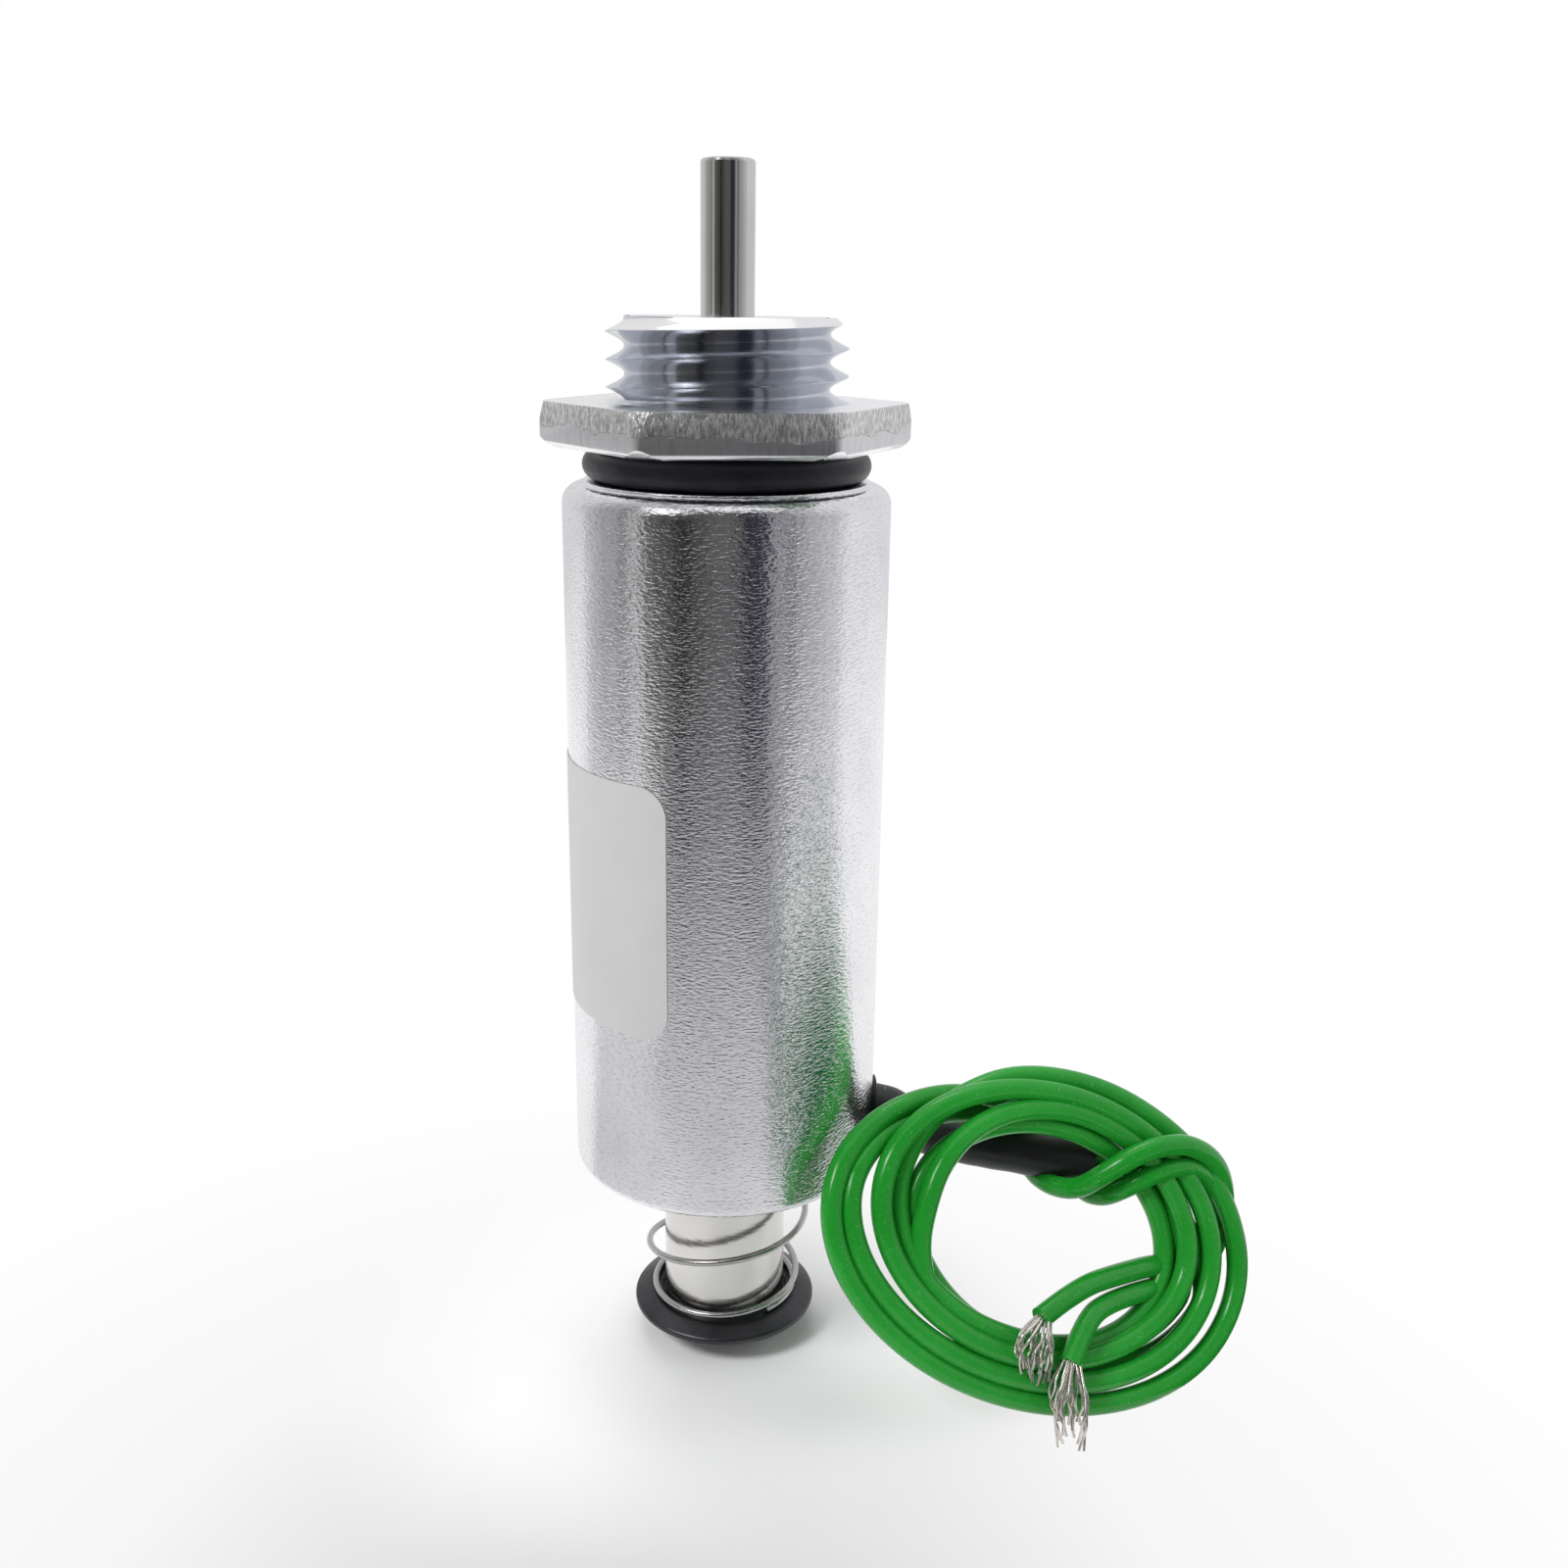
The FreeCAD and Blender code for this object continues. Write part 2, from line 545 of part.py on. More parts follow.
def retaining_clip():
    """Spring steel clip with three prongs that snap into the plunger's groove."""
    body = new_body("retaining_clip")
    inside = "clip_radius - clip_band"
    band = new_sketch(body, "clip_band_sketch", "XY_Plane", "clip_lift")
    circle(band, "0", "0", "clip_radius")
    circle(band, "0", "0", inside)
    feature(body, "Pad", "clip_band_pad", band, Length="clip_thickness")
    doc.recompute()
    prong = new_sketch(body, "clip_prong_sketch", "XY_Plane", "clip_lift")
    outline(prong, [
        ("clip_groove_radius + clip_groove_gap", "-clip_prong / 2"),
        (f"{inside} + clip_band / 2", "-clip_prong / 2"),
        (f"{inside} + clip_band / 2", "clip_prong / 2"),
        ("clip_groove_radius + clip_groove_gap", "clip_prong / 2"),
    ])
    tab = feature(body, "Pad", "clip_prong_pad", prong, Length="clip_thickness")
    doc.recompute()
    fan = body.newObject("PartDesign::PolarPattern", "clip_prongs")
    fan.Originals = [tab]
    fan.Axis = (prong, ["N_Axis"])
    fan.Angle = 180
    fan.Occurrences = 3
    body.Tip = fan
    doc.recompute()
    mouth = new_sketch(body, "clip_mouth_sketch", "XY_Plane", "clip_top")
    outline(mouth, [
        ("-clip_mouth / 2", "-clip_radius * 1.1"), ("clip_mouth / 2", "-clip_radius * 1.1"),
        ("clip_mouth / 2", "-clip_radius / 4"), ("-clip_mouth / 2", "-clip_radius / 4"),
    ])
    feature(body, "Pocket", "clip_mouth_cut", mouth, Length="clip_thickness * 2")
    return body


def plain_feature(name, shape):
    made = doc.addObject("Part::Feature", name)
    made.Label = name
    made.Shape = shape
    return made


def unit(start, end):
    step = end.sub(start)
    return step.multiply(1 / step.Length)


def route_wire(points, name):
    """Straight runs through the points joined by arcs as large as the runs allow."""
    edges = []
    last = points[0]
    radii = []
    for before, corner, after in zip(points, points[1:], points[2:]):
        shorter = min(corner.sub(before).Length, after.sub(corner).Length)
        back = unit(corner, before)
        ahead = unit(corner, after)
        half_turn = (math.pi - back.getAngle(ahead)) / 2
        cut = 0.45 * shorter
        radius = cut / math.tan(half_turn)
        radii.append(round(radius, 1))
        start = corner.add(FreeCAD.Vector(back).multiply(cut))
        end = corner.add(FreeCAD.Vector(ahead).multiply(cut))
        middle_way = back.add(ahead)
        middle_way.normalize()
        depth = radius / math.cos(half_turn) - radius
        middle = corner.add(middle_way.multiply(depth))
        edges.append(Part.LineSegment(last, start).toShape())
        edges.append(Part.Arc(start, middle, end).toShape())
        last = end
    edges.append(Part.LineSegment(last, points[-1]).toShape())
    print(name, "radii from", min(radii), "to", max(radii))
    return Part.Wire(edges)


def tube_along(points, radius, name, bore=0.0):
    """Round tube along a route, hollow when a bore is given."""
    points = [FreeCAD.Vector(*point) for point in points]
    wire = route_wire(points, name)
    start = points[0]
    heading = unit(start, points[1])

    def swept(size):
        section = Part.Wire(Part.Circle(start, heading, size).toShape())
        return wire.makePipeShell([section], True, False)

    solid = swept(radius)
    expected = math.pi * radius ** 2 * wire.Length
    print(name, "volume over section times length", round(abs(solid.Volume) / expected, 4))
    return solid.cut(swept(bore)) if bore else solid


def spring_point(turn):
    """Point of the spring wire's centre line, that many turns after its lower end."""
    closed = value("spring_closed_turns")
    opened = value("spring_open_turns")
    close_pitch = value("wire_radius * 2 + wire_gap")
    foot = value("spring_foot")
    open_rise = value("spring_head") - foot - 2 * closed * close_pitch
    share = min(max((turn - closed) / opened, 0), 1)
    # A half cosine starts and ends the open turns level with the closed ones.
    eased_share = share - math.sin(2 * math.pi * share) / (2 * math.pi) * value("spring_ease")
    height = foot + min(turn, closed) * close_pitch + eased_share * open_rise
    height += max(turn - closed - opened, 0) * close_pitch
    width = value("spring_head_radius") - value("spring_foot_radius")
    radius = value("spring_foot_radius") + share * width
    angle = math.radians(value("spring_end_angle") + 360 * turn)
    return FreeCAD.Vector(radius * math.cos(angle), radius * math.sin(angle), height)


def return_spring():
    """Loose conical compression spring: a closed turn at each end, open turns between."""
    turns = value("spring_open_turns + 2 * spring_closed_turns")
    steps = round(turns * POINTS_PER_TURN)
    points = [spring_point(turns * step / steps) for step in range(steps + 1)]
    return plain_feature("return_spring", tube_along(points, value("wire_radius"), "return_spring"))


def lead_grommet():
    """Rubber grommet in the can's lead hole, made round the leads' own axis."""
    body = new_body("lead_grommet")
    sketch = new_sketch(body, "grommet_sketch", "XZ_Plane")
    lip = "grommet_radius"
    outer = "can_radius + grommet_face_gap + grommet_lip_thickness"
    inner = "can_inside - grommet_inner_reach"
    wall_inside = "can_inside - grommet_wall_gap"
    wall_outside = "can_radius + grommet_face_gap"
    outline(sketch, [
        (inner, "lead_height + sleeve_bore"), (inner, f"lead_height + {lip}"),
        (wall_inside, f"lead_height + {lip}"),
        (wall_inside, "lead_height + lead_hole"),
        (wall_outside, "lead_height + lead_hole"),
        (wall_outside, f"lead_height + {lip}"),
        (f"{outer} - grommet_dome", f"lead_height + {lip}"),
        (outer, f"lead_height + {lip} - grommet_dome"),
        (outer, "lead_height + sleeve_bore"),
    ])
    axis = sketch.addGeometry(Part.LineSegment(
        FreeCAD.Vector(0, value("lead_height"), 0),
        FreeCAD.Vector(value("can_radius"), value("lead_height"), 0)), True)
    place_point(sketch, axis, 1, "0", "lead_height")
    place_point(sketch, axis, 2, "can_radius", "lead_height")
    made = feature(body, "Revolution", "grommet_turned", sketch)
    made.ReferenceAxis = (sketch, ["Axis0"])
    made.Angle = 360
    return body


def shifted(points, rise):
    return [(across, along, height + rise) for across, along, height in points]


def lead_sleeve():
    """Heat shrink sleeve that holds the two leads together where they leave the can."""
    bore = value("sleeve_radius - sleeve_wall")
    start = (value("can_inside - sleeve_set_in"), 0.0, value("lead_height"))
    return plain_feature("lead_sleeve", tube_along(
        [start, *SLEEVE_ROUTE], value("sleeve_radius"), "lead_sleeve", bore))


def lead_run(name, side):
    """One lead from its soldered joint through grommet and sleeve into the wound turns."""
    start = (value("can_inside - joint_set_in"), 0.0, value("lead_height"))
    route = shifted([start, *SLEEVE_ROUTE, LEAD_END], side * value("lead_spread"))
    return plain_feature(name, tube_along(route, value("lead_radius"), name))


def solder_joints():
    """The two joints between the winding's ends and the leads, in the bobbin's slot."""
    parts = []
    for name, side in (("joint_upper", "+"), ("joint_lower", "-")):
        joint = doc.addObject("Part::Cylinder", name)
        joint.setExpression("Radius", formula("joint_radius"))
        joint.setExpression("Height", formula("joint_length"))
        joint.Placement.Rotation = FreeCAD.Rotation(FreeCAD.Vector(0, 1, 0), 90)
        joint.setExpression("Placement.Base.x",
                            formula("can_inside - joint_set_in - joint_length"))
        joint.setExpression("Placement.Base.z", formula(f"lead_height {side} lead_spread"))
        joint.Visibility = False
        parts.append(joint)
    pair = doc.addObject("Part::Compound", "solder_joints")
    pair.Label = "solder_joints"
    pair.Links = parts
    return pair


def oval(half_length, half_width, end_radius):
    """Closed line of four arcs that meet smoothly, with its long axis on X."""
    long = value(half_length)
    short = value(half_width)
    small = value(end_radius)
    large = (long ** 2 - 2 * long * small + short ** 2) / (2 * (short - small))
    lean = math.atan2(large - short, long - small)
    join = (long - small + small * math.cos(lean), small * math.sin(lean))

    def corner(across, along):
        return FreeCAD.Vector(across * join[0], along * join[1], 0)

    tips = [FreeCAD.Vector(long, 0, 0), FreeCAD.Vector(0, short, 0),
            FreeCAD.Vector(-long, 0, 0), FreeCAD.Vector(0, -short, 0)]
    corners = [corner(1, -1), corner(1, 1), corner(-1, 1), corner(-1, -1)]
    return Part.Wire([
        Part.Arc(start, tip, end).toShape()
        for start, tip, end in zip(corners, tips, corners[1:] + corners[:1])
    ])


def lead_coil():
    """Outer shape of the leads' wound turns, leaning on the can with one edge on the floor."""
    outside = oval("coil_half_length", "coil_half_width", "coil_end_radius")
    eye = oval("coil_eye_half_length", "coil_eye_half_width", "coil_eye_end_radius")
    thick = value("coil_thickness")
    rise = FreeCAD.Vector(0, 0, thick)
    block = Part.Face(outside).extrude(rise).cut(Part.Face(eye).extrude(rise))
    block.translate(FreeCAD.Vector(0, 0, -thick / 2))
    rims = [edge for edge in block.Edges if abs(abs(edge.CenterOfMass.z) - thick / 2) < 1e-6]
    coil = plain_feature("lead_coil", block.makeFillet(value("coil_round"), rims))
    turn = FreeCAD.Rotation(FreeCAD.Vector(0, 0, 1), COIL_TURN)
    lean = FreeCAD.Rotation(FreeCAD.Vector(1, 0, 0), COIL_LEAN)
    roll = FreeCAD.Rotation(FreeCAD.Vector(0, 0, 1), COIL_ROLL)
    coil.Placement = FreeCAD.Placement(
        FreeCAD.Vector(*COIL_CENTRE), turn.multiply(lean).multiply(roll))
    return coil


def strands(name, start, end):
    """Bare strands of a stripped end, drawn as the cone that they splay in."""
    foot = FreeCAD.Vector(*start)
    tip = FreeCAD.Vector(*end)
    cone = Part.makeCone(value("strand_radius"), value("strand_splay"),
                         tip.sub(foot).Length, foot, unit(foot, tip))
    return plain_feature(name, cone)


SUB_PARTS = [
    housing_can(), end_plate(), guide_tube(), bobbin(), coil_winding(), winding_tape(),
    insulating_washer(), threaded_bush(), pole_shim(), hex_nut(), o_ring(),
    plunger(), push_pin(), spring_disc(), retaining_clip(), return_spring(),
    lead_grommet(), lead_sleeve(), lead_run("lead_run_a", 1), lead_run("lead_run_b", -1),
    solder_joints(), lead_coil(),
    plain_feature("lead_tail_a", tube_along(TAIL_A, value("lead_radius"), "lead_tail_a")),
    plain_feature("lead_tail_b", tube_along(TAIL_B, value("lead_radius"), "lead_tail_b")),
    strands("strands_a", TAIL_A[-1], STRANDS_A_END),
    strands("strands_b", TAIL_B[-1], STRANDS_B_END),
]
doc.recompute()

for item in doc.Objects:
    if "Invalid" in item.State or "Error" in item.State:
        raise ValueError(f"{item.Label} failed: {item.State}")
for item in SUB_PARTS:
    if item.Shape.isNull() or not item.Shape.isValid() or not item.Shape.Solids:
        raise ValueError(f"{item.Label} has no valid solid")

os.makedirs("parts", exist_ok=True)
for item in SUB_PARTS:
    item.Shape.exportStep(f"parts/{item.Label}.step")
    print(item.Label, len(item.Shape.Solids), round(item.Shape.Volume, 2))
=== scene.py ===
import math
import random

import bmesh
import bpy
from mathutils import Matrix, Vector


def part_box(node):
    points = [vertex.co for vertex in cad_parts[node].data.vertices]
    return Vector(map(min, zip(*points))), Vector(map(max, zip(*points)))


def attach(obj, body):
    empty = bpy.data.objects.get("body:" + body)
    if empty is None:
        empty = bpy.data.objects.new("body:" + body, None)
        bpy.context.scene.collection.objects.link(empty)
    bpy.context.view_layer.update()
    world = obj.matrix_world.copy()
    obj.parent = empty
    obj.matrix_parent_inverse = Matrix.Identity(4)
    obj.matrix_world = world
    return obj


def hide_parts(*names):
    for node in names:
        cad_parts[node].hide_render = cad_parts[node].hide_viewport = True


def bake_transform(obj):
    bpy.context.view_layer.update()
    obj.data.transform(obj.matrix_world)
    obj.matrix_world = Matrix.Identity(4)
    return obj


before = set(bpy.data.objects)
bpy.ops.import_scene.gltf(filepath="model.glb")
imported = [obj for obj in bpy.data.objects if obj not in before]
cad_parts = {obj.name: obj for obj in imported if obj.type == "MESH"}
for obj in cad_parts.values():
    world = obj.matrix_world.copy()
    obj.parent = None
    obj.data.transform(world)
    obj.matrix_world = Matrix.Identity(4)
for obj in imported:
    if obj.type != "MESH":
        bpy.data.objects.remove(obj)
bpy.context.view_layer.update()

# A push pull solenoid that stands on its plunger. Lengths are metres, written as millimetres
# times MM. Z runs up the plunger, and +X points to the side where the leads leave the can.

MM = 0.001
AROUND = 160

# What the frame says about the pieces that are dressed.
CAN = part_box("housing_can")
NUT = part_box("hex_nut")
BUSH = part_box("threaded_bush")
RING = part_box("o_ring")
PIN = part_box("push_pin")
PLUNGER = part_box("plunger")
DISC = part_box("spring_disc")
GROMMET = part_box("lead_grommet")

# Sizes that several pieces share; a hole's size is its radius.
CAN_RADIUS = CAN[1].x
CAN_WALL = 1.2 * MM
CAN_TOP = CAN[1].z - 0.3 * MM
CAN_INSIDE = CAN_RADIUS - CAN_WALL
CAN_CEILING = CAN_TOP - CAN_WALL
LEAD_HEIGHT = (GROMMET[0].z + GROMMET[1].z) / 2
LEAD_HOLE = 2.4 * MM
LEAD_RADIUS = 0.88 * MM
PIN_RADIUS = 2.0 * MM
POLE_FACE = BUSH[0].z
NECK_TOP = BUSH[1].z


# Small helpers for points and outlines

def mm(x, y, z):
    """Point from millimetres."""
    return Vector((x, y, z)) * MM


def arc(across, along, radius, start, end, steps=8):
    """Points of an arc in an outline, from one angle to another in degrees."""
    points = []
    for step in range(steps + 1):
        angle = math.radians(start + (end - start) * step / steps)
        points.append((across + radius * math.cos(angle), along + radius * math.sin(angle)))
    return points


def drawn(bm, points, closed=True):
    """Vertices of an outline and the edges that join them."""
    verts = [bm.verts.new(point) for point in points]
    following = verts[1:] + verts[:1] if closed else verts[1:]
    return verts + [bm.edges.new(pair) for pair in zip(verts, following)]


def spin_outline(bm, outline):
    """Turns a closed outline of (radius, height) points once round the Z axis."""
    geom = drawn(bm, [(radius, 0, height) for radius, height in outline])
    bmesh.ops.spin(bm, geom=geom, cent=(0, 0, 0), axis=(0, 0, 1), angle=2 * math.pi,
                   steps=AROUND, use_merge=True, use_duplicate=False)
    bmesh.ops.remove_doubles(bm, verts=bm.verts, dist=1e-7)
    bmesh.ops.recalc_face_normals(bm, faces=bm.faces)


def bevelled(bm, parts, width, segments, affect="EDGES"):
    """Rounds the given edges or corners."""
    bmesh.ops.bevel(bm, geom=parts, offset=width, offset_type="OFFSET", segments=segments,
                    profile=0.5, affect=affect, material=-1, clamp_overlap=True)


def raised(bm, height):
    """Extrudes every face straight up."""
    made = bmesh.ops.extrude_face_region(bm, geom=bm.faces[:])
    lifted = [part for part in made["geom"] if isinstance(part, bmesh.types.BMVert)]
    bmesh.ops.translate(bm, verts=lifted, vec=(0, 0, height))


def smoothed(mesh, sharp):
    """Smooth shading that breaks at edges sharper than the angle."""
    mesh.shade_smooth()
    mesh.set_sharp_from_angle(angle=math.radians(sharp))


def finished(name, bm, material, body=None, sharp=35):
    """Makes the mesh a smooth shaded piece that rides on its body."""
    mesh = bpy.data.meshes.new(name)
    bm.to_mesh(mesh)
    bm.free()
    smoothed(mesh, sharp)
    return placed(name, mesh, material, body)


def placed(name, data, material, body=None):
    """Puts a mesh or curve in the scene, on its body if it has one."""
    piece = bpy.data.objects.new(name, data)
    bpy.context.scene.collection.objects.link(piece)
    piece.data.materials.append(material)
    if body:
        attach(piece, body)
    return piece


def turned(name, outline, material, body=None, sharp=35):
    """A turned piece from its closed outline."""
    bm = bmesh.new()
    spin_outline(bm, outline)
    return finished(name, bm, material, body, sharp)


def applied(piece):
    """Gives a piece the mesh that its modifiers make, and drops the modifiers."""
    bpy.context.view_layer.update()
    shown = piece.evaluated_get(bpy.context.evaluated_depsgraph_get())
    mesh = bpy.data.meshes.new_from_object(shown)
    piece.modifiers.clear()
    piece.data = mesh


def cut_with(piece, tool, operation):
    """Boolean of a piece with another object, which is then deleted."""
    modifier = piece.modifiers.new("cut", "BOOLEAN")
    modifier.operation = operation
    modifier.solver = "EXACT"
    modifier.object = tool
    applied(piece)
    bpy.data.objects.remove(tool)


# Shader node helpers

def shade(tree, kind, sockets=None, **settings):
    """New node with its settings and the values or links of its input sockets."""
    node = tree.nodes.new(kind)
    for name, setting in settings.items():
        setattr(node, name, setting)
    for name, given in (sockets or {}).items():
        if isinstance(given, bpy.types.NodeSocket):
            tree.links.new(given, node.inputs[name])
        else:
            node.inputs[name].default_value = given
    return node


def maths(tree, operation, *given):
    """Output of a maths node on one or two values."""
    return shade(tree, "ShaderNodeMath", dict(enumerate(given)), operation=operation).outputs[0]


def vector_maths(tree, operation, *given):
    """Output vector of a vector maths node."""
    node = shade(tree, "ShaderNodeVectorMath", dict(enumerate(given)), operation=operation)
    return node.outputs["Vector"]


def colours_mixed(tree, factor, first, second, **settings):
    """Colour between two others."""
    node = shade(tree, "ShaderNodeMix", {"Factor": factor, "A": first, "B": second},
                 data_type="RGBA", **settings)
    return node.outputs["Result"]


def height_of(tree, vector):
    """Z of a vector."""
    return shade(tree, "ShaderNodeSeparateXYZ", {"Vector": vector}).outputs["Z"]


def facing_up(tree):
    """How far the surface faces up: 1 on top, 0 on an upright face and -1 below."""
    return height_of(tree, shade(tree, "ShaderNodeNewGeometry").outputs["Normal"])


def ramp(tree, factor, *stops):
    """Colour ramp with stops of (place, grey or colour)."""
    node = shade(tree, "ShaderNodeValToRGB", {"Fac": factor})
    elements = node.color_ramp.elements
    while len(elements) < len(stops):
        elements.new(0.5)
    for element, (place, tone) in zip(elements, stops):
        element.position = place
        element.color = (tone, tone, tone, 1) if isinstance(tone, (int, float)) else (*tone, 1)
    return node.outputs["Color"]


def new_group(name, inputs, outputs):
    """Empty node group with float or vector inputs and the named outputs."""
    group = bpy.data.node_groups.new(name, "ShaderNodeTree")
    for label, kind, start in inputs:
        socket = group.interface.new_socket(label, in_out="INPUT", socket_type=kind)
        if start is not None:
            socket.default_value = start
    for label, kind in outputs:
        group.interface.new_socket(label, in_out="OUTPUT", socket_type=kind)
    given = group.nodes.new("NodeGroupInput").outputs
    return group, given, group.nodes.new("NodeGroupOutput").inputs


def grain_group():
    """Fine grain stretched along one direction, with a slower unevenness below it."""
    group, given, out = new_group(
        "surface_grain",
        [("Vector", "NodeSocketVector", None), ("Scale", "NodeSocketFloat", 2000.0),
         ("Stretch", "NodeSocketVector", (1, 1, 3)), ("Roughness", "NodeSocketFloat", 0.55)],
        [("Fine", "NodeSocketFloat"), ("Slow", "NodeSocketFloat")])
    stretched = vector_maths(group, "MULTIPLY", given["Vector"], given["Stretch"])
    fine = shade(group, "ShaderNodeTexNoise", {
        "Vector": stretched, "Scale": given["Scale"], "Detail": 4.0,
        "Roughness": given["Roughness"]})
    slow_scale = maths(group, "MULTIPLY", given["Scale"], 0.09)
    slow = shade(group, "ShaderNodeTexNoise", {
        "Vector": given["Vector"], "Scale": slow_scale, "Detail": 3.0})
    group.links.new(fine.outputs["Fac"], out["Fine"])
    group.links.new(slow.outputs["Fac"], out["Slow"])
    return group


def scratch_group():
    """Sparse thin scratches: bright lines of a stretched noise near its middle value."""
    group, given, out = new_group(
        "scratches",
        [("Vector", "NodeSocketVector", None), ("Scale", "NodeSocketFloat", 900.0),
         ("Stretch", "NodeSocketVector", (1, 1, 0.06)), ("Width", "NodeSocketFloat", 0.012)],
        [("Mask", "NodeSocketFloat")])
    stretched = vector_maths(group, "MULTIPLY", given["Vector"], given["Stretch"])
    noise = shade(group, "ShaderNodeTexNoise", {
        "Vector": stretched, "Scale": given["Scale"], "Detail": 1.0})
    middle = maths(group, "SUBTRACT", noise.outputs["Fac"], 0.5)
    away = maths(group, "ABSOLUTE", middle)
    group.links.new(maths(group, "LESS_THAN", away, given["Width"]), out["Mask"])
    return group


GRAIN = grain_group()
SCRATCHES = scratch_group()


def new_material(name):
    """Material with a Principled shader and object coordinates."""
    material = bpy.data.materials.new(name)
    material.use_nodes = True
    tree = material.node_tree
    tree.nodes.clear()
    shader = tree.nodes.new("ShaderNodeBsdfPrincipled")
    output = tree.nodes.new("ShaderNodeOutputMaterial")
    tree.links.new(shader.outputs[0], output.inputs["Surface"])
    place = tree.nodes.new("ShaderNodeTexCoord").outputs["Object"]
    return material, tree, shader, place


def grain(tree, place, scale, stretch=(1, 1, 1), roughness=0.55):
    """Fine and slow outputs of the grain group."""
    node = shade(tree, "ShaderNodeGroup", {
        "Vector": place, "Scale": scale, "Stretch": stretch, "Roughness": roughness},
        node_tree=GRAIN)
    return node.outputs["Fine"], node.outputs["Slow"]


def scratches(tree, place, scale, width):
    """Mask of the scratches group with no stretch."""
    return shade(tree, "ShaderNodeGroup", {
        "Vector": place, "Scale": scale, "Stretch": (1, 1, 1), "Width": width},
        node_tree=SCRATCHES).outputs["Mask"]


def bump(tree, shader, height, distance, strength=1.0, normal=None):
    """Relief on the shader; returns the normal, so that another can lie over it."""
    sockets = {"Height": height, "Distance": distance, "Strength": strength}
    if normal is not None:
        sockets["Normal"] = normal
    node = shade(tree, "ShaderNodeBump", sockets)
    tree.links.new(node.outputs[0], shader.inputs["Normal"])
    return node.outputs[0]


def link(tree, output, shader, socket):
    """Feeds an output into a named socket of the shader."""
    tree.links.new(output, shader.inputs[socket])


def metal(name, low, high, rough_low, rough_high, scale, stretch, depth, slow_depth=0.0):
    """Bare or plated metal: colour, roughness and relief all vary with the grain."""
    material, tree, shader, place = new_material(name)
    fine, slow = grain(tree, place, scale, stretch)
    shader.inputs["Metallic"].default_value = 1.0
    link(tree, ramp(tree, slow, (0.3, low), (0.7, high)), shader, "Base Color")
    link(tree, ramp(tree, fine, (0.3, rough_low), (0.7, rough_high)), shader, "Roughness")
    first = None
    if slow_depth:
        first = bump(tree, shader, slow, slow_depth)
    bump(tree, shader, fine, depth, normal=first)
    return material


def moulded(name, low, high, rough_low, rough_high, scale, depth, gloss=0.5):
    """Plastic or rubber with a fine skin."""
    material, tree, shader, place = new_material(name)
    shader.inputs["Specular IOR Level"].default_value = gloss
    fine, slow = grain(tree, place, scale)
    link(tree, ramp(tree, slow, (0.35, low), (0.65, high)), shader, "Base Color")
    link(tree, ramp(tree, slow, (0.3, rough_low), (0.7, rough_high)), shader, "Roughness")
    bump(tree, shader, fine, depth)
    return material


# Materials

def can_zinc():
    """Bright zinc on drawn steel: fine level dashes, faint marks and duller patches."""
    material, tree, shader, place = new_material("can_zinc")
    shader.inputs["Metallic"].default_value = 1.0
    slow = grain(tree, place, 2300.0)[1]
    dashes = shade(tree, "ShaderNodeTexNoise", {
        "Vector": vector_maths(tree, "MULTIPLY", place, (1, 1, 2.8)),
        "Scale": 2200.0, "Detail": 2.0, "Roughness": 0.5}).outputs["Fac"]
    plain = ramp(tree, slow, (0.3, (0.79, 0.79, 0.815)), (0.7, (0.87, 0.87, 0.895)))
    shadows = ramp(tree, dashes, (0.3, 0.84), (0.5, 1.0))
    marked = colours_mixed(tree, 1.0, plain, shadows, blend_type="MULTIPLY")
    link(tree, marked, shader, "Base Color")
    link(tree, ramp(tree, slow, (0.25, 0.1), (0.75, 0.15)), shader, "Roughness")
    bump(tree, shader, dashes, 0.00005)
    return material


def neck_zinc():
    """Blue bright zinc on the turned neck, near white on its top face as a painted highlight,
    with faint turning marks.
    """
    material, tree, shader, place = new_material("neck_zinc")
    shader.inputs["Metallic"].default_value = 1.0
    fine, slow = grain(tree, place, 1500.0, (0.15, 0.15, 6), 0.5)
    # Upward faces in the top millimetre mix to near white: a painted highlight.
    level = shade(tree, "ShaderNodeMapRange", {
        "Value": facing_up(tree), "From Min": 0.5, "From Max": 0.65}).outputs[0]
    rim = maths(tree, "GREATER_THAN", height_of(tree, place), NECK_TOP - 1.0 * MM)
    blue = ramp(tree, slow, (0.3, (0.55, 0.575, 0.635)), (0.7, (0.68, 0.70, 0.755)))
    colour = colours_mixed(tree, maths(tree, "MULTIPLY", level, rim), blue,
                           (0.96, 0.96, 0.965, 1))
    link(tree, colour, shader, "Base Color")
    link(tree, ramp(tree, fine, (0.3, 0.1), (0.7, 0.2)), shader, "Roughness")
    bump(tree, shader, fine, 0.00001, 0.5)
    return material


